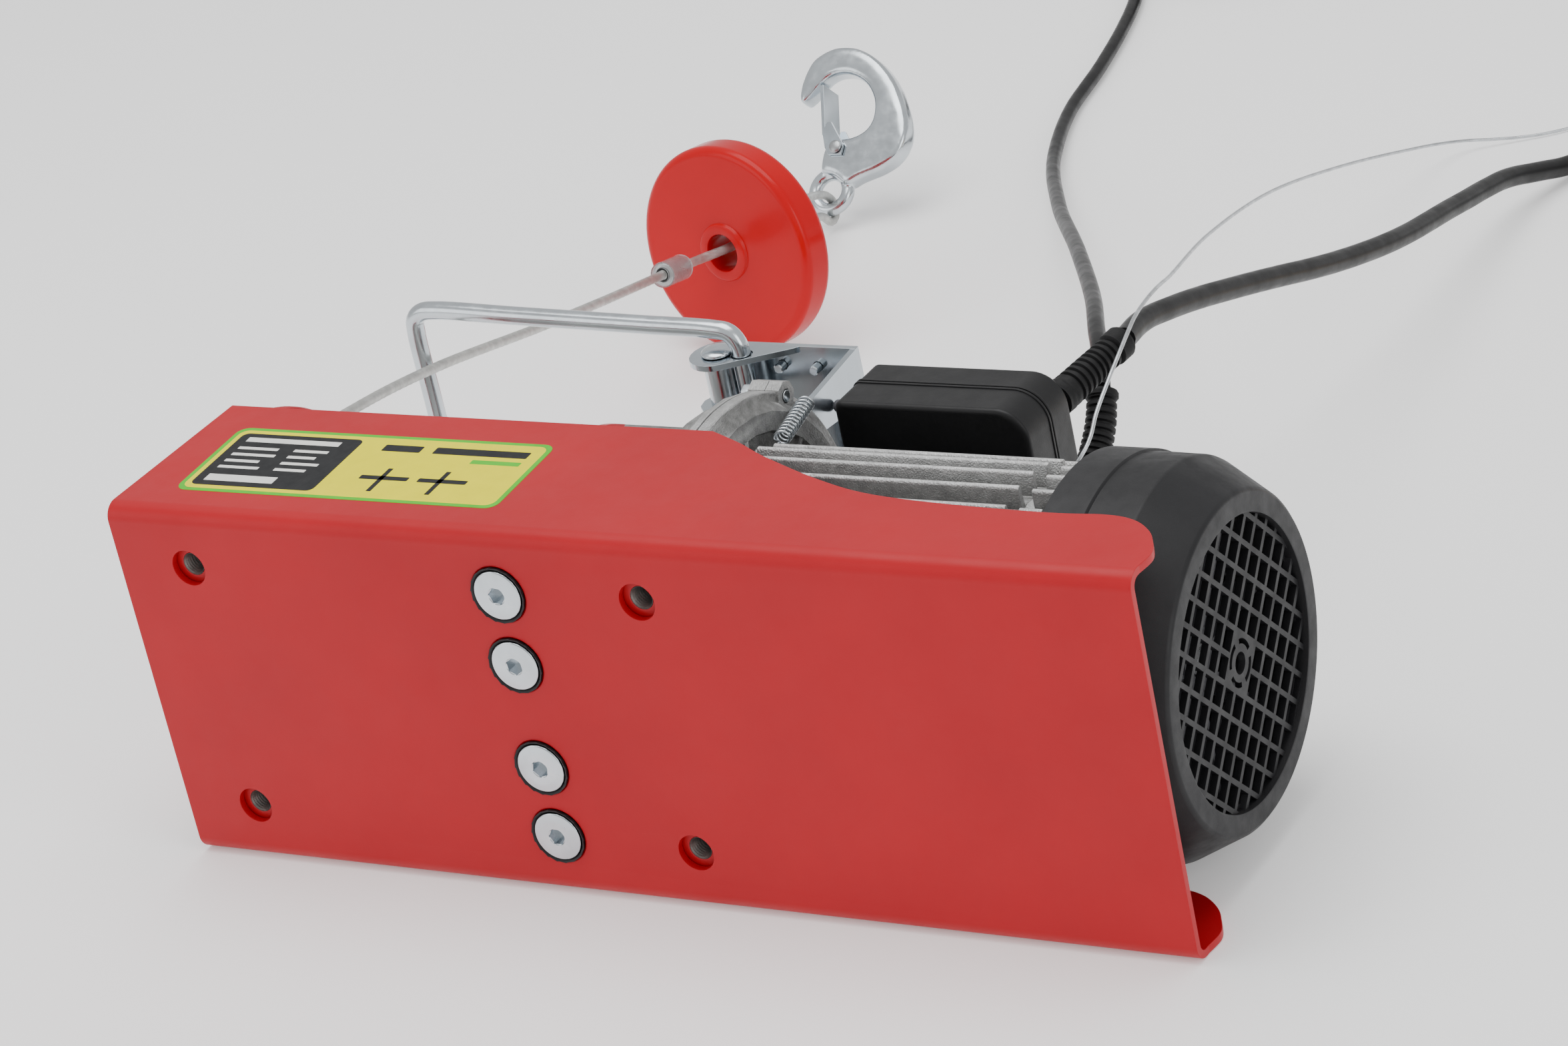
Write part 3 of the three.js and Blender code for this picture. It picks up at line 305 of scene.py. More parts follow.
def sweep(name, path, section, material, caps=True):
    """section(i, s) gives the 2-D outline at station i, arc length s, carried along path without twist."""
    path = [Vector(p) for p in path]
    tan = [(path[min(i + 1, len(path) - 1)] - path[max(i - 1, 0)]).normalized() for i in range(len(path))]
    _, u, _ = frame_of(tan[0])
    vs, fs, s = [], [], 0.0
    for i, p in enumerate(path):
        if i:
            s += (path[i] - path[i - 1]).length
            ax = tan[i - 1].cross(tan[i])
            if ax.length > 1e-9:
                u = Quaternion(ax.normalized(), tan[i - 1].angle(tan[i])) @ u
            u = (u - tan[i] * u.dot(tan[i])).normalized()
        v = tan[i].cross(u)
        sec = section(i, s)
        vs += [p + u * a + v * b for a, b in sec]
    k = len(sec)
    for i in range(len(path) - 1):
        for j in range(k):
            fs.append([i * k + j, i * k + (j + 1) % k, (i + 1) * k + (j + 1) % k, (i + 1) * k + j])
    if caps:
        fs += [list(range(k))[::-1], list(range(len(vs) - k, len(vs)))]
    return new_obj(name, vs, fs, material)


def cut(o, *cutters):
    for c in cutters:
        m = o.modifiers.new("cut", "BOOLEAN")
        m.operation, m.solver, m.object = "DIFFERENCE", "EXACT", c
        dg = bpy.context.evaluated_depsgraph_get()
        me = bpy.data.meshes.new_from_object(o.evaluated_get(dg))
        o.modifiers.clear()
        o.data = me
        bpy.data.objects.remove(c)
    return o


def join(o, *others):
    bm = bmesh.new()
    for x in (o, *others):
        bm.from_mesh(x.data)
    bm.to_mesh(o.data)
    bm.free()
    for x in others:
        bpy.data.objects.remove(x)
    return o


def refine(node, material, width=0.5, segs=2, angle=38, name=None):
    """A piece from the node's own solid, with its edges rounded."""
    src = NODES[node]
    me = src.data.copy()
    o = bpy.data.objects.new(name or node + "_piece", me)
    bpy.context.collection.objects.link(o)
    bm = bmesh.new()
    bm.from_mesh(me)
    bmesh.ops.remove_doubles(bm, verts=bm.verts, dist=2e-6)
    bmesh.ops.dissolve_limit(bm, angle_limit=math.radians(1.0), verts=bm.verts, edges=bm.edges)
    bmesh.ops.recalc_face_normals(bm, faces=bm.faces)
    bm.to_mesh(me)
    bm.free()
    me.materials.clear()
    me.materials.append(M[material])
    for p in me.polygons:
        p.material_index = 0
    if width:
        bevel(o, width, segs, angle)
    bake(o, 40)
    return o


BODY = {n: b for b, ns in frame["record"]["behaviour"]["bodies"].items() for n in ns}


def done(o, *nodes, body=None, slot=None):
    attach(o, body or BODY[nodes[0]])
    if nodes:
        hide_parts(*nodes)
    return o


# ------------------------------------------------------------------ cords first
def cord_curve(name, path, radius, material):
    c = bpy.data.curves.new(name, "CURVE")
    c.dimensions = "3D"
    c.bevel_depth = radius / 1000
    c.bevel_resolution = 5
    c.use_fill_caps = True
    c.resolution_u = 5
    s = c.splines.new("BEZIER")
    s.bezier_points.add(len(path) - 1)
    for bp_, p in zip(s.bezier_points, path):
        bp_.co = P(p)
        bp_.handle_left_type = bp_.handle_right_type = "AUTO"
    c.materials.append(M[material])
    o = bpy.data.objects.new(name, c)
    bpy.context.collection.objects.link(o)
    return o


def coil(cx, cy, start, r_out, r_in, z0, z1, per=18):
    """Clockwise turns in two layers: out, in, up, and back out."""
    def val(a, knots):
        for (a0, v0), (a1, v1) in zip(knots, knots[1:]):
            if a <= a1:
                t = (a - a0) / (a1 - a0)
                t = t * t * (3 - 2 * t)
                return v0 + (v1 - v0) * t
        return knots[-1][1]
    rk = [(0, r_out), (300, r_out), (360, r_in), (900, r_in), (960, r_out), (1171, r_out)]
    zk = [(0, z0), (600, z0), (660, z1), (1171, z1)]
    n = int(1170 / 360 * per)
    out = []
    for i in range(n + 1):
        a = 1170 * i / n
        th = math.radians(start - a)
        r = val(a, rk)
        out.append(Vector((cx + r * math.cos(th), cy + r * math.sin(th), val(a, zk))))
    return out


lead_pts = [(295.7, 233.2, 97.4), (294.6, 236.6, 99.9), (291.4, 244.2, 102.8), (285, 255.5, 104.2), (275.8, 272.6, 103.4), (251.5, 317.2, 93.7), (190.2, 420, 66.2), (113.6, 545, 29.9), (57.4, 648, 7.6), (34.9, 711.7, 4), (26.4, 761.6, 4), (15.4, 813.3, 4), (3.6, 856, 4), (-7.2, 882, 4), (-13.2, 893, 4), (-14.8, 900.5, 4)]
lead_path = catmull(lead_pts, 21)
mc = coil(30.7, 928, 180, 45.5, 38.5, 3.9, 10.9)
lead_all = lead_path + mc + [Vector((44.7, 973.5, 10.8)), Vector((58.9, 973.5, 10.5))]
mains = cord_curve("mains_lead_cable", lead_all, 3.5, "cable")
pend_pts = [(309.25, 233.3, 119.15), (309.3, 237.5, 119.4), (306.9, 243, 118.6), (305.5, 285, 108.4), (307.3, 350, 88), (310.7, 415, 66.5), (311.8, 475, 49.5), (308.4, 550, 32), (308.8, 612, 17.8), (319.3, 650, 6.4), (331, 684, 4.8), (346.5, 718, 4.8), (364, 741, 4.8), (384.4, 748.5, 4.8)]
pend_path = catmull(pend_pts, 24)
pc = coil(420, 690, 90, 58.5, 49.5, 4.85, 13.85)
pend_all = pend_path + pc + [Vector((478.5, 672, 12.6)), Vector((478.5, 652.4, 9.8))]
pendant = cord_curve("pendant_cable_piece", pend_all, 4.5, "cable")
wire_pts = [(307.1, 163, 85), (313, 164.5, 95), (319.2, 168, 102.1), (318.4, 188, 113), (317.0, 217.5, 124.8), (312.4, 240, 126.4), (307.1, 267.5, 123.6), (299.1, 295, 115.8), (276.5, 375, 96.3), (254.4, 480, 68), (246.3, 560, 43.3), (247, 625, 22.5), (255.9, 675, 6.4), (280.9, 692, 1.6), (301.4, 706, 1.1), (320, 738, 1.1), (352, 770, 1.1), (410, 784, 1.1), (465, 764, 1.1), (492, 722, 1.1), (499, 680, 1.1), (496, 652, 2.4), (494, 634.6, 6.5)]
wire_path = catmull(wire_pts, 14)
wire = cord_curve("support_wire_piece", wire_path, 0.75, "thin")


def rope_section(r, lay=27.0, lobes=6, n=24):
    """A rope's outline, which turns along its length so that the strands spiral."""
    def f(i, s):
        tw = 2 * math.pi * s / lay
        return [((r * (0.93 + 0.09 * abs(math.cos(lobes / 2 * (a - tw))) - 0.02)) * math.cos(a), (r * (0.93 + 0.09 * abs(math.cos(lobes / 2 * (a - tw))) - 0.02)) * math.sin(a)) for a in [2 * math.pi * k / n for k in range(n)]]
    return f


rope_pts = [(33.5, 91, 137.4), (32, 100, 136), (30, 112, 133.6), (24.8, 150, 125.8), (19, 195, 114.8), (8, 278, 91), (0, 340, 74.2), (-7.0, 393.6, 60.3), (-7.19, 395.1, 59.9)]
rope_path = catmull(rope_pts, 1.5)
rope = sweep("rope_free_piece", rope_path, rope_section(2.1), "rope")

E = Vector((-28.7, 580.4, 17))
HU = Vector((-0.1047, 0.6704, 0.7346)).normalized()
HW = Vector((0.9945, 0.0706, 0.0774)).normalized()
HW = (HW - HU * HW.dot(HU)).normalized()
HN = HW.cross(HU).normalized()
CU = E - HU * 9.3
FC, FU = Vector((-8.6, 406, 57)), Vector((-0.1244, 0.9589, -0.2547)).normalized()
at = lambda h, n: CU + HU * h + HN * n
side = lambda p, s: (p[0] - 0.033 * s, p[1] + 0.256 * s, p[2] + 0.966 * s)
flat = lambda p, s: (p[0] + 0.926 * s, p[1] + 0.204 * s, p[2] + 0.317 * s)
turned = lambda p, s: (p[0] + 0.55 * s, p[1] + 0.28 * s, p[2] + 0.787 * s)
F2 = FC + FU * 11.6
bight = [flat(F2, 2.4), flat((-8.4, 428, 52.3), 2.4), flat((-3.6, 441, 51), 2.4), flat((-0.5, 454, 49.7), 2.4), flat((-0.2, 460, 48.7), 2.4), turned((-2.4, 474, 45.6), 2.5), side((-14.6, 520, 33.6), 2.7), side((-24.4, 556, 22.4), 3.2), at(5.7, 5), at(5.5, 0)]
bight += [at(5.5 * math.cos(math.radians(a)), -5.5 * math.sin(math.radians(a))) for a in (36, 72, 108, 144, 180)]
bight += [at(-5.4, 6), side((-24.0, 553, 19.6), -3.4), side((-14.6, 520, 31.8), -2.7), turned((-2.4, 474, 45.6), -2.5), flat((-0.2, 460, 48.7), -2.4), flat((-0.5, 454, 49.7), -2.4), flat((-3.6, 441, 51), -2.4), flat((-8.4, 428, 52.3), -2.4), flat(F2, -2.4)]
bight_path = catmull(bight, 1.2)
bight_o = sweep("rope_bight_piece", bight_path, rope_section(2.1), "rope")
for o in (rope, bight_o):
    bake(o, 60, False)

done(mains, "mains_lead", "mains_coil")
done(pendant, "pendant_cable", "pendant_coil")
done(wire, "support_wire")
done(rope, "rope_free")
done(bight_o, "rope_bight")

# ------------------------------------------------------------------ plug and ferrule
def drop(o, fn):
    for v in o.data.vertices:
        p = Vector((v.co.x * 1000 + OX, v.co.y * 1000 + OY, v.co.z * 1000))
        v.co = P(fn(p))
    return o


PLX, PLY, PLZ = 30.7 + 28, 928 + 45.5, 19.4
prof = [(0, 0), (0, 4.0)]
for i in range(9):
    t = 1.2 + i * 2.3
    prof += [(t, 4.1 + i * 0.2), (t + 0.5, 4.6 + i * 0.2), (t + 1.3, 4.6 + i * 0.2), (t + 1.8, 4.1 + i * 0.2)]
prof += [(22.4, 6), (24, 8), (26, 11.5), (28, 14.6), (30, 17), (34, 18.6), (38, 19), (41, 18.4), (44, 18.0), (48, 18.4), (52, 19), (54.4, 18.9), (55.6, 18.2), (56, 17.4), (56, 0)]
plug = lathe("mains_plug_piece", prof, (0, 0, 0), (1, 0, 0), "rubber", 64)
pins = [lathe(f"pin{s}", [(55, 0), (55, 2.4), (73.6, 2.4), (74.6, 1.9), (75, 1.1), (75, 0)], (0, s * 9.5, 0), (1, 0, 0), None, 24) for s in (-1, 1)]
plug.data.materials.append(M["zinc"])
for q in pins:
    q.data.materials.append(M["rubber"])
    q.data.materials.append(M["zinc"])
    for f in q.data.polygons:
        f.material_index = 1
join(plug, *pins)
for v in plug.data.vertices:
    v.co = v.co + (P((PLX, PLY, PLZ)) - P((0, 0, 0)))


def plug_bend(p):
    t = min(1, max(0, (PLX + 26 - p.x) / 26))
    return (p.x, p.y, p.z - t * t * (3 - 2 * t) * (PLZ - 10.5))


drop(plug, plug_bend)
bake(plug, 40, False)
done(plug, "mains_plug")

fer = lathe("ferrule_piece", [(-9.4, 0), (-9.4, 3.6), (-8.8, 4.9), (8.8, 4.9), (9.4, 3.6), (9.4, 0)], FC, FU, "ferrule", 48)
bake(bevel(fer, 0.4, 2), 40)
ferl = lathe("ferrule_sleeve", [(-10.7, 3.2), (-10.7, 5.0), (-10.1, 5.8), (10.1, 5.8), (10.7, 5.0), (10.7, 3.2), (9.8, 3.2), (9.6, 5.15), (-9.6, 5.15), (-9.8, 3.2)], FC, FU, "sleeve", 48, closed=True)
bake(ferl, 50, False)
done(fer, "rope_ferrule")
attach(ferl, "base")
# black ring on the solid ferrule's rope end: painted shade standing for the dark gap in the bore around the rope
bore_shade = lathe("ferrule_bore_painted_shade", [(-9.78, 2.2), (-9.78, 3.3), (-9.5, 3.5), (-9.0, 3.5), (-9.0, 2.2)], FC, FU, "cable", 24, closed=True)
bake(bore_shade, 50, False)
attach(bore_shade, "base")
list(P(lead_all[0]))
round(length(lead_all) / 1000, 3)
list(P(pend_all[0]))
round(length(pend_all) / 1000, 3)
round(length(wire_path) / 1000, 3)
round(length(rope_path) / 1000, 3)
round(length(bight_path) / 1000, 3)
print("cord lengths", [round(length(x)) for x in (lead_all, pend_all, wire_path, rope_path, bight_path)])

# ------------------------------------------------------------------ channel frame
RO, RI, W, T = 6.5, 3.5, 150.0, 3.0
prof = [(85, 0)] + arc(RO, RO, RO, 270, 180, 10) + arc(RO, W - RO, RO, 180, 90, 10) + [(85, W), (85, W - T)] + arc(RO, W - RO, RI, 90, 180, 10) + arc(RO, RO, RI, 180, 270, 10) + [(85, T)]
ch = prism("frame_channel_piece", prof, "YZ", 0, 428, "red")
edge = [(218, 85), (234, 77), (250, 67.6), (279, 53.7), (304, 45.4), (337, 41.6), (377, 40), (398, 41), (409.5, 38.5), (418, 32), (423, 24.4), (426, 17), (425.2, 8)]


def spline(pts, n):
    """The three.js SplineCurve (uniform Catmull-Rom) sampled at n + 1 points."""
    out = []
    for i in range(n + 1):
        p = (len(pts) - 1) * i / n
        k, w = int(math.floor(p)), 0
        w = p - k
        g = lambda j: pts[min(max(j, 0), len(pts) - 1)]
        p0 = pts[k if k == 0 else k - 1]
        p1, p2, p3 = pts[min(k, len(pts) - 1)], g(k + 1), g(k + 2)
        f = lambda a, b, c, d: (2 * b + (c - a) * w + (2 * a - 5 * b + 4 * c - d) * w * w + (3 * b - a - 3 * c + d) * w**3) * 0.5
        out.append((f(p0[0], p1[0], p2[0], p3[0]), f(p0[1], p1[1], p2[1], p3[1])))
    return out


waste = [(-5, -5), (-5, 120)]  # everything outside the flange outline
curve = spline(edge, 90)
outl = [(218, 110)] + curve + [(425.2, -5), (450, -5), (450, 110)]
cutter = prism("waste", outl, "XY", -5, 155)
tools = [cutter]
for x in (32.5, 229.6):
    for z in (23.8, 126.2):
        tools.append(lathe("h", [(-1, 0), (-1, 7.25), (4, 7.25), (4, 0)], (x, 0, z), (0, 1, 0), None, 48))
for z in (25, 53.7, 96.3, 125):
    tools.append(lathe("h", [(-1, 0), (-1, 12.5), (4, 7.5), (4, 0)], (170.9, 0, z), (0, 1, 0), None, 64))
cut(ch, *tools)
ch.data.materials.clear(); ch.data.materials.append(M["red"])
bake(bevel(ch, 0.45, 2, 32), 34)
done(ch, "frame_channel")

# label on the upper flange: green border, yellow field, grey panel, no lettering
quad = [(17.3, 67.3), (161.3, 67.2), (164.6, 17.4), (20.9, 16.7)]


def uv(u, v):
    a = Vector(quad[0]).lerp(Vector(quad[1]), u)
    b = Vector(quad[3]).lerp(Vector(quad[2]), u)
    return a.lerp(b, v)


def rrect(x0, y0, x1, y1, rad, n=6):
    return arc(x0 + rad, y0 + rad, rad, 180, 270, n) + arc(x1 - rad, y0 + rad, rad, 270, 360, n) + arc(x1 - rad, y1 - rad, rad, 0, 90, n) + arc(x0 + rad, y1 - rad, rad, 90, 180, n)


def panel(name, u0, v0, u1, v1, z0, z1, material, rad=0.8):
    pts = [uv(x / 144, y / 50) for x, y in rrect(u0 * 144, v0 * 50, u1 * 144, v1 * 50, rad)]
    o = prism(name, [(p.x, p.y) for p in pts], "XY", z0, z1, material)
    bake(bevel(o, 0.03, 1), 30)
    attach(o, "base")
    return o


panel("label_border", 0, 0, 1, 1, 149.95, 150.10, "label_green", 5)
panel("label_field", 0.014, 0.04, 0.986, 0.96, 149.96, 150.16, "label_yellow", 4)
panel("label_panel", 0.03, 0.09, 0.42, 0.91, 149.97, 150.21, "label_grey", 3)
rows = [(0.06, 0.15, 0.36, 0.22), (0.06, 0.30, 0.19, 0.34), (0.24, 0.30, 0.35, 0.34), (0.06, 0.40, 0.20, 0.44), (0.24, 0.40, 0.33, 0.44), (0.06, 0.50, 0.17, 0.54), (0.24, 0.50, 0.36, 0.54), (0.06, 0.60, 0.19, 0.64), (0.24, 0.60, 0.34, 0.64), (0.06, 0.74, 0.28, 0.84)]
for k, q in enumerate(rows):
    panel(f"label_line_{k}", *q, 149.98, 150.235, "label_white", 0.25)
panel("label_block_a", 0.66, 0.14, 0.95, 0.24, 149.97, 150.20, "label_grey", 0.6)
panel("label_block_b", 0.80, 0.30, 0.95, 0.36, 149.97, 150.20, "label_green", 0.4)
panel("label_block_c", 0.50, 0.14, 0.62, 0.24, 149.97, 150.20, "label_grey", 0.6)
for k, u in enumerate((0.52, 0.70)):
    panel(f"label_sketch_{k}", u, 0.62, u + 0.15, 0.68, 149.97, 150.20, "label_grey", 0.6)
    panel(f"label_post_{k}", u + 0.06, 0.50, u + 0.075, 0.86, 149.97, 150.20, "label_grey", 0.3)

# weld nuts, clamp screws and their serrated washers
for i, (x, z) in enumerate([(x, z) for x in (32.5, 229.6) for z in (23.8, 126.2)]):
    n = f"weld_nut_{i + 1}"
    o = prism(n + "_piece", circ(x, z, 10.2, 6, 0.5236), "XZ", 3.3, 12.3, "red")
    cut(o, lathe("h", [(2, 0), (2, 4.5), (14, 4.5), (14, 0)], (x, 0, z), (0, 1, 0), None, 32), )
    o.data.materials.clear(); o.data.materials.append(M["red"])
    bake(bevel(o, 0.7, 2, 32), 34)
    done(o, n)
    tp = [(3.35, 4.5)]
    for k in range(7):
        tp += [(3.5 + k * 1.25, 4.46), (3.5 + k * 1.25 + 0.62, 3.95)]
    tp += [(12.25, 4.46), (12.25, 4.55), (3.35, 4.55)]
    th = lathe(n + "_thread", tp, (x, 0, z), (0, 1, 0), "thread", 40, closed=True)
    bake(th, 20)
    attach(th, "base")
for i, z in enumerate((25, 53.7, 96.3, 125)):
    n = f"clamp_screw_{i + 1}"
    o = lathe(n + "_piece", [(-1.5, 0), (-1.5, 6.4), (-1.42, 6.9), (-1.15, 9.2), (-0.95, 9.6), (-0.6, 9.8), (4.2, 5), (22, 5), (22, 0)], (170.9, 0, z), (0, 1, 0), "zinc", 72)
    hx = prism("hex", circ(170.9, z, 3.46, 6, 0.3 * i), "XZ", -3, 3.2)
    cut(o, hx)
    cut(o, lathe("chamfer", [(-3, 0), (-3, 4.3), (-1.1, 3.3), (-1.1, 0)], (170.9, 0, z), (0, 1, 0), None, 32))
    o.data.materials.clear(); o.data.materials.append(M["zinc"])
    bake(bevel(o, 0.15, 1, 40), 38)
    done(o, n)
    vs, fs, teeth = [], [], 18
    for k in range(teeth * 2):
        a = 2 * math.pi * k / (teeth * 2) + 0.1 * i
        tw = 0.10 if k % 2 else -0.02
        for y, r in ((-0.65, 10.35), (-0.75 - (0.45 if k % 2 else 0), 11.15), (0.05, 11.05), (2.7, 8.3), (2.55, 7.75)):
            vs.append((170.9 + r * math.cos(a + (tw if r > 11 else 0)), y, z + r * math.sin(a + (tw if r > 11 else 0))))
    m5 = 5
    for k in range(teeth * 2):
        q = (k + 1) % (teeth * 2)
        for j in range(m5):
            j2 = (j + 1) % m5
            fs.append([k * m5 + j, k * m5 + j2, q * m5 + j2, q * m5 + j])
    wsh = new_obj(f"serrated_washer_{i + 1}", vs, fs, "black")
    bake(bevel(wsh, 0.08, 1, 30), 30)
    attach(wsh, "base")

# ------------------------------------------------------------------ gearbox
CY, DY, LY, MY = 104.5, 80.0, 123.5, 76.0
X3 = (1, 0, 0)
rim = lathe("gearbox_wall", [(165, 20), (165, 59), (165.8, 61.8), (168.2, 66), (169.5, 66.9), (201.5, 66.9), (202.0, 67.4), (202.5, 71.0), (203.1, 72), (205.9, 72), (206.35, 71.5), (206.35, 64), (170, 64), (170, 20)], (0, CY, AZ), X3, "alu", 128, closed=True)
hb = refine("gearbox_housing", "alu", 0.6, 2)
bake(rim, 34)
done(hb, "gearbox_housing")
bpy.data.objects.remove(rim)
gc = refine("gearbox_cover", "alu", 0.5, 2)
done(gc, "gearbox_cover")
light = lathe("gearbox_joint_rim", [(205.2, 71.7), (205.2, 72.35), (205.5, 72.6), (206.1, 72.6), (206.3, 72.3), (206.3, 71.7)], (0, CY, AZ), X3, "alu", 160, closed=True)
bake(light, 34)
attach(light, "base")
light2 = lathe("gearbox_cover_rim", [(206.7, 71.7), (206.7, 72.4), (207.0, 72.6), (211.0, 72.6), (211.4, 72.2), (211.4, 71.7)], (0, CY, AZ), X3, "alu", 160, closed=True)
bake(light2, 34)
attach(light2, "base")
for n in ("casing_screw_1", "casing_screw_2"):
    done(refine(n, "zinc", 0.3, 2), n)
for n, mt in (("output_gear", "steel"), ("layshaft_gear", "steel"), ("bearing_drum", "steel"), ("bearing_front", "steel"), ("bearing_rear", "steel"), ("rotor", "steel"), ("stator", "copper"), ("rear_end_shield", "alu_dark"), ("cooling_fan", "grey"), ("limit_switch", "grey"), ("run_capacitor", "white")):
    done(refine(n, mt, 0.3, 1), n)

# ------------------------------------------------------------------ motor housing with rounded fin tips
FINS = 36


def fins(name, rtip, half, lo, hi):
    pts = []
    for i in range(FINS):
        a = (i + 0.35) * 2 * math.pi / FINS
        tb, tt = half * 1.25 / 58, half / rtip
        pts += [(MY + r * math.cos(a + d), AZ + r * math.sin(a + d)) for d, r in ((-tb, 57.9), (-tt, rtip - 0.9), (-tt * 0.45, rtip), (tt * 0.45, rtip), (tt, rtip - 0.9), (tb, 57.9))]
        for k in (1, 2, 3):
            b = a + tb + (2 * math.pi / FINS - 2 * tb) * k / 4
            pts.append((MY + 57.8 * math.cos(b), AZ + 57.8 * math.sin(b)))
    return prism(name, pts, "YZ", lo, hi, "alu")


mh = fins("motor_housing_piece", 67, 1.3, 229, 348)
stub = fins("stub", 66, 1.3, 353, 362)
tubeo = lathe("tube", [(226.2, 52.2), (226.2, 57.7), (374, 57.7), (374, 52.2)], (0, MY, AZ), X3, "alu", 128, closed=True)
front = lathe("front", [(222.3, 16.5), (222.3, 58.6), (223.6, 60), (229.4, 60), (229.4, 52.5), (226.5, 52.5), (226.5, 16.5)], (0, MY, AZ), X3, "alu", 128, closed=True)
for o in (mh, stub):
    cut(o, lathe("b", [(200, 0), (200, 55), (380, 55), (380, 0)], (0, MY, AZ), X3, None, 96))
    o.data.materials.clear(); o.data.materials.append(M["alu"])
boss = []
for a in (55, 125, 235, 305):
    boss.append(lathe("boss", [(216.9, 0), (216.9, 4.7), (217.7, 5.5), (230, 5.5), (230, 0)], (0, MY + 60.5 * math.cos(math.radians(a)), AZ + 60.5 * math.sin(math.radians(a))), X3, "alu", 32))
for o in (mh, stub, tubeo, front, *boss):
    if o is not tubeo:
        bevel(o, 0.35, 1, 30)
    bake(o, 36)
join(mh, stub, tubeo, front, *boss)
done(mh, "motor_housing")

# ------------------------------------------------------------------ fan cover: shell, lip, and the slanted grille
fc = lathe("fan_cover_piece", [(417.2, 50.5), (417.2, 52), (419.5, 52.2), (419.9, 52.3), (421.3, 52.5), (421.5, 53), (421.5, 59.4), (421.2, 60.2), (420.2, 61.4), (402.6, 71.1), (401.4, 71.5), (384.6, 71.7), (384.0, 71.8), (383.7, 72.2), (383.2, 72.6), (367.5, 72.6), (367, 72.1), (367, 70.3), (367.5, 69.9), (400.3, 68.9), (415.8, 60.2), (416.6, 59), (416.6, 50.5)], (0, MY, AZ), X3, "black", 160, closed=True)
bake(fc, 30)
disc_pts = circ(MY, AZ, 52.3, 96, 0.013)
grille = prism("fan_grille", disc_pts, "YZ", 416.8, 419.4, "black")
P1, P2, BAR = 9.8, 8.7, 2.0
vs, fs = [], []
for i in range(-6, 6):
    for j in range(-7, 7):
        a, b = (i + 0.5) * P1, (j + 0.5) * P2
        if math.hypot(a, b) > 55.5 or (abs(i + 0.5) < 1 and abs(j + 0.5) < 1):
            continue
        ha, hb_ = (P1 - BAR) / 2, (P2 - BAR) / 2
        c4 = [(a - ha, b - hb_), (a + ha, b - hb_), (a + ha, b + hb_), (a - ha, b + hb_)]
        rr = lambda p: (MY + (p[0] - p[1]) * math.sqrt(0.5), AZ + (p[0] + p[1]) * math.sqrt(0.5))
        clip = [rr(p) for p in c4][::-1]
        k0 = len(vs)
        kk = len(clip)
        vs += [(414, y, z) for y, z in clip] + [(422, y, z) for y, z in clip]
        fs += [[k0 + s for s in range(kk)][::-1], [k0 + kk + s for s in range(kk)]] + [[k0 + s, k0 + (s + 1) % kk, k0 + kk + (s + 1) % kk, k0 + kk + s] for s in range(kk)]
holes = new_obj("grid", vs, fs, None)
slots = []
for i in range(4):
    slots.append(prism("slot", arc(MY, AZ, 8.7, i * 90 + 12, i * 90 + 78, 10) + arc(MY, AZ, 6.8, i * 90 + 78, i * 90 + 12, 10), "YZ", 414, 422))
cut(grille, holes, lathe("c", [(414, 0), (414, 4), (422, 4), (422, 0)], (0, MY, AZ), X3, None, 40), *slots)
grille.data.materials.clear(); grille.data.materials.append(M["black"])
bake(bevel(grille, 0.25, 1, 40), 30)
join(fc, grille)
done(fc, "fan_cover")

# ------------------------------------------------------------------ drum, rope turns, shaft
dr = lathe("drum_piece", [(3.5, 10.3), (3.5, 67.6), (3.9, 68.5), (4.9, 69.2), (7, 69.2), (7.9, 68.7), (8.3, 67.8), (8.3, 55.5), (154, 55.5), (154, 67.6), (154.5, 68.6), (155.5, 69.15), (158.6, 69.15), (159.5, 68.4), (159.5, 51), (8.3, 51), (8.3, 16), (30, 16), (30, 10.3)], (0, DY, AZ), X3, "red", 160, closed=True)
bake(dr, 34)
done(dr, "drum")
sh = lathe("drum_shaft_piece", [(0.6, 0), (0.6, 3), (1.0, 3.4), (1.0, 12.4), (1.6, 13.2), (2.9, 13.4), (3.2, 13), (3.2, 10), (188.0, 10), (188.5, 9.5), (188.5, 0)], (0, DY, AZ), X3, "steel", 64)
bake(bevel(sh, 0.2, 1), 34)
done(sh, "drum_shaft")
turns, per, pts = 32.6, 40, []
n = int(turns * per)
x0, x1 = 8.7 + 2.25, 153.6 - 2.25
for i in range(n + 1):
    f = i / n
    a = math.radians(77.3) - 2 * math.pi * turns * f
    pts.append(Vector((x0 + (x1 - x0) * f, DY + 58.15 * math.cos(a), AZ + 58.15 * math.sin(a))))


def small_rope(i, s):
    tw = 2 * math.pi * s / 27.0
    return [(2.2 * (0.95 + 0.07 * abs(math.cos(3 * (a - tw)))) * math.cos(a), 2.2 * (0.95 + 0.07 * abs(math.cos(3 * (a - tw)))) * math.sin(a)) for a in [2 * math.pi * k / 12 for k in range(12)]]


wd = sweep("rope_winding_piece", pts, small_rope, "rope")
core = lathe("winding_core", [(8.8, 55.8), (8.8, 57.6), (153.5, 57.6), (153.5, 55.8)], (0, DY, AZ), X3, "rope", 96, closed=True)
bake(wd, 60, False)
bake(core, 34)
join(wd, core)
done(wd, "rope_winding")

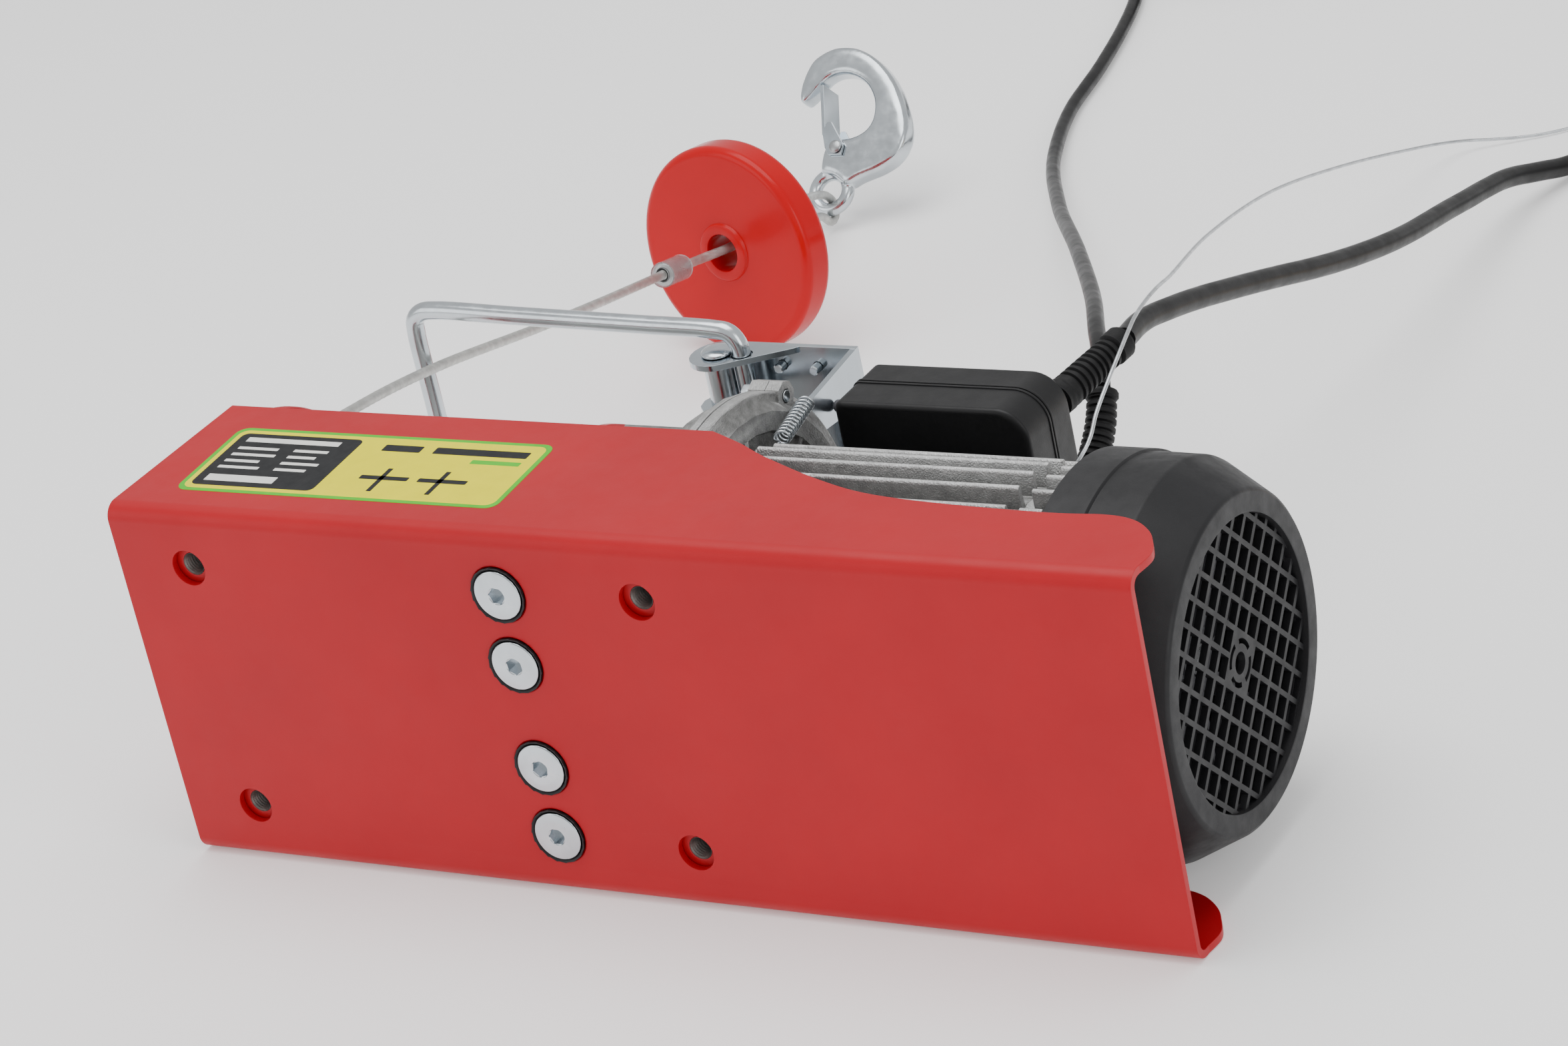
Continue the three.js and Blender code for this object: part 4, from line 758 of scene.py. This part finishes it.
# ------------------------------------------------------------------ lever group
for n, mt, wdt in (("pivot_bracket", "zinc_sheet", 0.4), ("pivot_spacer", "zinc", 0.25), ("lever_plate", "zinc_sheet", 0.4), ("switch_plunger", "grey", 0.2)):
    done(refine(n, mt, wdt, 2), n)
pin = lathe("pivot_pin_piece", [(21.9, 0), (21.9, 5.0), (22.3, 5.9), (22.9, 6.2), (24.4, 6.2), (24.7, 5.9), (24.7, 4), (125.3, 4), (125.3, 6.4), (125.7, 6.6), (126.4, 6.5), (127.3, 5.4), (127.8, 3.2), (127.9, 0)], (151.5, 195, 0), (0, 0, 1), "zinc", 64)
bake(bevel(pin, 0.15, 1), 34)
done(pin, "pivot_pin")
for i, (x, z) in enumerate(((174.3, 116.7), (190.2, 116.6))):
    s = lathe(f"lever_screw_{i + 1}_piece", [(199.8, 0), (199.8, 1.6), (200.2, 2), (206.8, 2), (206.8, 3.5), (207.5, 3.5), (208.4, 2.9), (208.8, 1.8), (208.8, 0)], (x, 0, z), (0, 1, 0), "zinc", 32)
    cut(s, prism("slotc", [(x - 0.4, z - 2.6), (x + 0.4, z - 2.6), (x + 0.4, z + 2.6), (x - 0.4, z + 2.6)], "XZ", 208.1, 210), prism("slotd", [(x - 2.6, z - 0.4), (x + 2.6, z - 0.4), (x + 2.6, z + 0.4), (x - 2.6, z + 0.4)], "XZ", 208.1, 210))
    s.data.materials.clear(); s.data.materials.append(M["zinc"])
    bake(s, 34)
    done(s, f"lever_screw_{i + 1}")
rod_pts = [(162.5, 195, 79), (162.5, 195, 100), (162.5, 195, 124), (161.8, 195, 130), (158.6, 195, 134.2), (152, 195, 135.4), (120, 195, 136.3), (60, 195, 137.9), (22, 195, 138.9), (14.5, 195, 138), (10.4, 195, 134.6), (9.2, 195, 128), (9.2, 195, 100), (9.2, 195, 50), (9.2, 195, 22), (10.4, 195, 15.4), (14.5, 195, 12), (22, 195, 11.1), (60, 195, 12.1), (120, 195, 13.7), (152, 195, 14.6), (158.6, 195, 15.8), (161.8, 195, 20), (162.5, 195, 26), (162.5, 195, 50), (162.5, 195, 71)]
rp = catmull(rod_pts, 1.6)
rod = sweep("limit_rod_piece", rp, lambda i, s: circ(0, 0, 3.75 if 1 < i < len(rp) - 2 else (3.0 if i in (0, len(rp) - 1) else 3.6), 28), "zinc")
bake(rod, 40, False)
done(rod, "limit_rod")

# return spring: hook to the cover, open coil, hook to the lever's tab
S1, S2, TAB = Vector((223.2, 119.5, 129.5)), Vector((217, 150.4, 129.2)), Vector((209.6, 163.6, 121.8))
ax = (S2 - S1).normalized()
_, su, sv = frame_of(ax)
L = (S2 - S1).length
sp = [S1 - ax * 7 - su * 1.5 + Vector((0, 0, -3)), S1 - ax * 5, S1 - ax * 2.6]
nt = 12
for i in range(nt * 20 + 1):
    f = i / (nt * 20)
    a = 2 * math.pi * nt * f
    sp.append(S1 + ax * (L * f) + (su * math.cos(a) + sv * math.sin(a)) * 2.85)
sp += [S2 + ax * 2.0 + su * 0.6, S2 + ax * 5 + Vector((-1.5, 0, -2)), TAB + Vector((1.5, -2.5, 1.5)), TAB]
spring = sweep("return_spring_piece", catmull(sp, 0.5), lambda i, s: circ(0, 0, 0.52, 8), "zinc")
bake(spring, 60, False)
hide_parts("return_spring")
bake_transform(spring)

# ------------------------------------------------------------------ switch box
def rr(x0, y0, x1, y1, rs, n=10):
    return arc(x0 + rs[0], y0 + rs[0], rs[0], 180, 270, n) + arc(x1 - rs[1], y0 + rs[1], rs[1], 270, 360, n) + arc(x1 - rs[2], y1 - rs[2], rs[2], 0, 90, n) + arc(x0 + rs[3], y1 - rs[3], rs[3], 90, 180, n)


def box_half(name, ylo, yhi, low_edge):
    """A shell half: outline swept with a rounded outer edge, closed at both ends; the caller cuts its hollow."""
    base = rr(225, 23, 306, 127, [3, 13, 13, 3])
    cx, cz = 265.5, 75.0
    rings = []
    steps = [(0, 2.2), (0.35, 1.15), (0.95, 0.4), (1.9, 0.0)] if low_edge else [(0, 2.6), (0.3, 1.5), (0.9, 0.6), (1.9, 0.1), (2.6, 0.0)]
    seq = [(ylo + d, o) for d, o in steps] + [(yhi, 0.0)] if low_edge else [(ylo, 0.0)] + [(yhi - d, o) for d, o in reversed(steps)]
    vs, fs = [], []
    for y, off in seq:
        for x, z in base:
            vs.append((cx + (x - cx) * (40.5 - off) / 40.5, y, cz + (z - cz) * (52 - off) / 52))
    k = len(base)
    for r in range(len(seq) - 1):
        for j in range(k):
            fs.append([r * k + j, r * k + (j + 1) % k, (r + 1) * k + (j + 1) % k, (r + 1) * k + j])
    fs += [list(range(k))[::-1], [(len(seq) - 1) * k + j for j in range(k)]]
    return new_obj(name, vs, fs, "black_satin")


base_o = box_half("switch_box_base_piece", 155, 173.3, True)
inner = rr(227.5, 25.5, 303.5, 124.5, [1, 10.5, 10.5, 1])
cut(base_o, prism("in", inner, "XZ", 157.5, 175))
ped = prism("ped", rr(240, 52, 290, 98, [3, 3, 3, 3]), "XZ", 143.4, 156, "black_satin")
base_o.data.materials.clear(); base_o.data.materials.append(M["black_satin"])
bake(bevel(base_o, 0.25, 1, 50), 36)
bake(bevel(ped, 0.8, 2, 50), 36)
join(base_o, ped)
done(base_o, "switch_box_base")
lid_o = box_half("switch_box_lid_piece", 173.75, 190, False)
cut(lid_o, prism("in", inner, "XZ", 173, 187.5), lathe("hole", [(220, 0), (220, 3), (230, 3), (230, 0)], (0, 181, 112), X3, None, 32))
lid_o.data.materials.clear(); lid_o.data.materials.append(M["black_satin"])
bake(bevel(lid_o, 0.25, 1, 50), 36)
lip = [prism("lip", rr(224.55, 22.55, 306.45, 127.45, [3.3, 13.4, 13.4, 3.3]), "XZ", y, y + 1.3, "black_satin") for y in (171.9, 173.85)]
for q in lip:
    bake(bevel(q, 0.3, 2, 50), 36)
lip_cut = lip
for q in lip_cut:
    cut(q, prism("in", inner, "XZ", 150, 195))
    q.data.materials.clear(); q.data.materials.append(M["black_satin"])
    bake(q, 36)
join(base_o, lip[0])
join(lid_o, lip[1])
# four cross-slotted lid screws
for sx, sz in ((233, 33), (233, 117), (296, 36), (296, 114)):
    s = lathe(f"lid_screw_{sx}_{sz}", [(189.2, 0), (189.2, 3.6), (190.0, 3.9), (190.6, 3.3), (190.9, 2.0), (190.9, 0)], (sx, 0, sz), (0, 1, 0), "zinc", 32)
    cut(s, prism("sl", [(sx - 0.45, sz - 2.4), (sx + 0.45, sz - 2.4), (sx + 0.45, sz + 2.4), (sx - 0.45, sz + 2.4)], "XZ", 190.3, 192), prism("sl2", [(sx - 2.4, sz - 0.45), (sx + 2.4, sz - 0.45), (sx + 2.4, sz + 0.45), (sx - 2.4, sz + 0.45)], "XZ", 190.3, 192))
    s.data.materials.clear(); s.data.materials.append(M["zinc"])
    bake(s, 36)
    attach(s, "base")
done(lid_o, "switch_box_lid")


# ------------------------------------------------------------------ corrugated cable glands
def gland(name, pts, node, collar):
    path = catmull(pts, 0.45)
    tot = length(path)

    def sec(i, s):
        if s < 7:
            r = 6.7 if s < 5.6 else 6.2
            hexa = [(r * 1.03 / max(abs(math.cos(((a + math.pi / 6) % (math.pi / 3)) - math.pi / 6)), 0.88)) for a in [2 * math.pi * k / 36 for k in range(36)]]
            return [(min(6.95, hexa[k]) * math.cos(2 * math.pi * k / 36), min(6.95, hexa[k]) * math.sin(2 * math.pi * k / 36)) for k in range(36)]
        if s > tot - collar:
            r = 6.6 if s < tot - 0.6 else 6.1
        else:
            ph = (s - 7) % 3.1
            taper = 6.75 - 0.9 * (s - 7) / max(tot - 7, 1)
            r = taper if ph < 1.75 else taper - 1.0
        return circ(0, 0, r, 36)
    o = sweep(name, path, sec, "rubber")
    bake(o, 50, False)
    done(o, node)
    return o


gland("pendant_gland_piece", [(299, 191.5, 113), (299.2, 194, 113.1), (300.9, 199, 114), (304, 211, 116), (309, 232, 119)], "strain_relief_pendant", 7)
gland("mains_gland_piece", [(299, 190.8, 70), (299, 195, 70.3), (299, 203.5, 72.8), (298.5, 214.5, 79.6), (298, 223.7, 87.9), (295.9, 232.5, 96.7)], "strain_relief_mains", 3)

# ------------------------------------------------------------------ stop weight
DN, DC = Vector((-0.175, -0.978, 0.115)).normalized(), Vector((-1.5, 439.6, 51))
dp = [(1.1, 8.7), (1.5, 8.9), (1.6, 9.3), (1.6, 12.6), (1.45, 13.0), (1.1, 13.3), (0.3, 13.5), (0.0, 13.75), (0.0, 14.2), (0.0, 30.0), (0.0, 44.6), (-0.03, 45.2), (-0.2, 46.2), (-0.65, 47.2), (-1.4, 48.1), (-2.4, 48.8), (-3.6, 49.0), (-4.2, 49.0), (-13.0, 49.0), (-13.6, 49.0), (-15.0, 48.6), (-16.2, 47.6), (-16.8, 46.4), (-17.0, 45.2), (-17.0, 44.4), (-17.0, 9.4), (-16.9, 8.9), (-16.5, 8.7), (-15.9, 8.7), (0.4, 8.7)]
ds = lathe("stop_weight_piece", dp, DC, DN, "gloss_red", 192, closed=True)
bake(ds, 40, False)
done(ds, "stop_weight")

# ------------------------------------------------------------------ hook, latch, pin
hook_pts = [(-5, 10.5), (-4.8, 15), (-4.2, 20), (-1, 24.2), (5, 25.2), (11, 25.4), (17.5, 28), (21.3, 34), (21, 44), (15.5, 53), (4.7, 58.6), (-4, 57.6), (-9.6, 52.6), (-14.6, 47), (-18.4, 44.6), (-20.2, 47.6), (-19.4, 56), (-14.8, 66.4), (-6, 71.6), (2, 72.6), (11, 70.6), (20.8, 64.5), (30, 54.6), (36.8, 42), (40.6, 30), (40.8, 22), (36.4, 13.2), (27, 7.6), (15, 3.8), (10.8, 1)]


def in_hook(name, pts, lo, hi, material):
    k = len(pts)
    f = lambda p, q, n_: E + HW * p + HU * q + HN * n_
    vs = [f(a, b, lo) for a, b in pts] + [f(a, b, hi) for a, b in pts]
    fs = [list(range(k)), list(range(k, 2 * k))[::-1]] + [[i, k + i, k + (i + 1) % k, (i + 1) % k] for i in range(k)]
    return new_obj(name, vs, fs, material)


sm = [(v.x, v.y) for v in catmull([(x, y, 0) for x, y in hook_pts], 1.1)]
sm += [(9.0, -2.0), (-3.0, 8.0)]
body = in_hook("hook_piece", sm[:-2] + [(8.4, 2.0), (3.0, 7.0), (-3.0, 8.6)], -6, 6, "zinc")
def soften(o, voxel, times):
    """Melts a piece's parts into one body and rounds it, as a drop forging is."""
    rm = o.modifiers.new("remesh", "REMESH")
    rm.mode, rm.voxel_size = "VOXEL", voxel
    sm_ = o.modifiers.new("smooth", "SMOOTH")
    sm_.factor, sm_.iterations = 0.5, times
    dg = bpy.context.evaluated_depsgraph_get()
    me_ = bpy.data.meshes.new_from_object(o.evaluated_get(dg))
    o.modifiers.clear()
    o.data = me_


eprof = [(3.3 * math.sin(math.radians(a)), 9.0 + 3.3 * math.cos(math.radians(a))) for a in range(0, 360, 18)]
eye = lathe("hook_eye", eprof, E, HN, "zinc", 64, closed=True)
neck = in_hook("hook_neck", [(-5.6, 8.2), (-5.0, 16), (-3.4, 22), (5, 24.4), (14, 23), (15, 10), (10.8, 3.4), (4.4, 7.6), (-1.2, 8.6)], -5.2, 5.2, "zinc")
join(body, neck)
soften(body, 0.0008, 85)
join(body, eye)
soften(body, 0.0006, 10)
holep = lathe("pinhole", [(-9, 0), (-9, 2.2), (9, 2.2), (9, 0)], E + HW * 4.4 + HU * 19.9, HN, None, 32)
cut(body, holep)
body.data.materials.clear(); body.data.materials.append(M["zinc"])
for f in body.data.polygons:
    f.use_smooth = True
done(body, "hook")
la = refine("hook_latch", "zinc_sheet", 0.35, 2)
done(la, "hook_latch")
lp = lathe("latch_pin_piece", [(-9.6, 0), (-9.6, 1.6), (-9.3, 2.7), (-8.8, 3.2), (-8.3, 3.2), (-8.2, 1.9), (8.2, 1.9), (8.3, 3.2), (8.8, 3.2), (9.3, 2.7), (9.6, 1.6), (9.6, 0)], E + HW * 4.4 + HU * 19.9, HN, "steel", 40)
bake(lp, 40)
done(lp, "latch_pin")

# ------------------------------------------------------------------ handset
HX = 478.5
for n, mt in (("pendant_back_shell", "yellow"), ("pendant_front_shell", "yellow")):
    o = refine(n, mt, 1.6 if n.endswith("front_shell") else 1.0, 3, 50)
    done(o, n)
for n, cy_ in (("button_up", 560), ("button_down", 584)):
    o = lathe(n + "_piece", [(22, 0), (22, 4), (26.2, 4), (26.2, 8.9), (36.0, 8.9), (36.9, 8.6), (37.4, 7.8), (37.1, 5.5), (36.8, 0)], (HX, cy_, 0), (0, 0, 1), "black", 64)
    s_ = 1 if n == "button_up" else -1
    ar = prism("arrow", [(HX - 4.2, cy_ - 1.8 * s_), (HX + 4.2, cy_ - 1.8 * s_), (HX, cy_ + 4.4 * s_)], "XY", 36.0, 37.3, "label_white")
    bake(o, 34)
    ar.data.materials.clear(); ar.data.materials.append(M["label_white"])
    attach(ar, BODY[n])
    ar.name = n + "_arrow"
    bake(bevel(ar, 0.15, 1), 34)
    done(o, n)
    ring_ = lathe(n + "_bezel", [(32.8, 9.5), (32.8, 11.6), (33.6, 11.4), (34.2, 10.6), (34.2, 9.5)], (HX, cy_, 0), (0, 0, 1), "black", 64, closed=True)
    bake(ring_, 34)
    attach(ring_, "base")
es = lathe("emergency_stop_piece", [(20, 0), (20, 4), (24, 6.9), (37.4, 6.9), (37.6, 12.2), (38.4, 13), (40.2, 13.0), (41.9, 12.4), (43.2, 11), (44.0, 8.6), (44.4, 5), (44.4, 0)], (HX, 612, 0), (0, 0, 1), "stop", 96)
bake(es, 34)
done(es, "emergency_stop")
eb = lathe("stop_bezel", [(32.8, 7.6), (32.8, 14.4), (33.12, 14.3), (33.25, 14.0), (33.25, 7.6)], (HX, 612, 0), (0, 0, 1), "black", 64, closed=True)
bake(eb, 34)
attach(eb, "base")

# ------------------------------------------------------------------ floor and light
fl = bpy.data.meshes.new("floor")
fl.from_pydata([(-12, -12, -0.0004), (12, -12, -0.0004), (12, 12, -0.0004), (-12, 12, -0.0004)], [], [[0, 1, 2, 3]])
floor = bpy.data.objects.new("floor", fl)
bpy.context.collection.objects.link(floor)
fm = bpy.data.materials.new("floor")
fm.use_nodes = True
fb = fm.node_tree.nodes["Principled BSDF"]
fb.inputs["Base Color"].default_value = (0.93, 0.93, 0.93, 1)
fb.inputs["Roughness"].default_value = 0.75
fb.inputs["Emission Color"].default_value = (1, 1, 1, 1)
fb.inputs["Emission Strength"].default_value = 0.22
fl.materials.append(fm)
world = bpy.data.worlds.new("studio")
bpy.context.scene.world = world
world.use_nodes = True
bg = world.node_tree.nodes["Background"]
bg.inputs["Color"].default_value = (1, 1, 1, 1)
bg.inputs["Strength"].default_value = 0.77


def area(name, loc, target, size, power):
    d = bpy.data.lights.new(name, "AREA")
    d.shape = "RECTANGLE"
    d.size, d.size_y = size
    d.energy = power
    o = bpy.data.objects.new(name, d)
    o.location = loc
    o.rotation_euler = (Vector(target) - Vector(loc)).to_track_quat("-Z", "Y").to_euler()
    bpy.context.collection.objects.link(o)


area("key_top", (-0.2, -0.1, 1.9), (-0.1, -0.15, 0), (1.6, 1.6), 30)
area("right_soft", (1.9, -0.9, 0.9), (0.05, -0.2, 0.08), (1.0, 1.4), 11)
area("left_soft", (-1.5, -1.6, 0.9), (-0.1, -0.3, 0.08), (1.2, 1.2), 7)
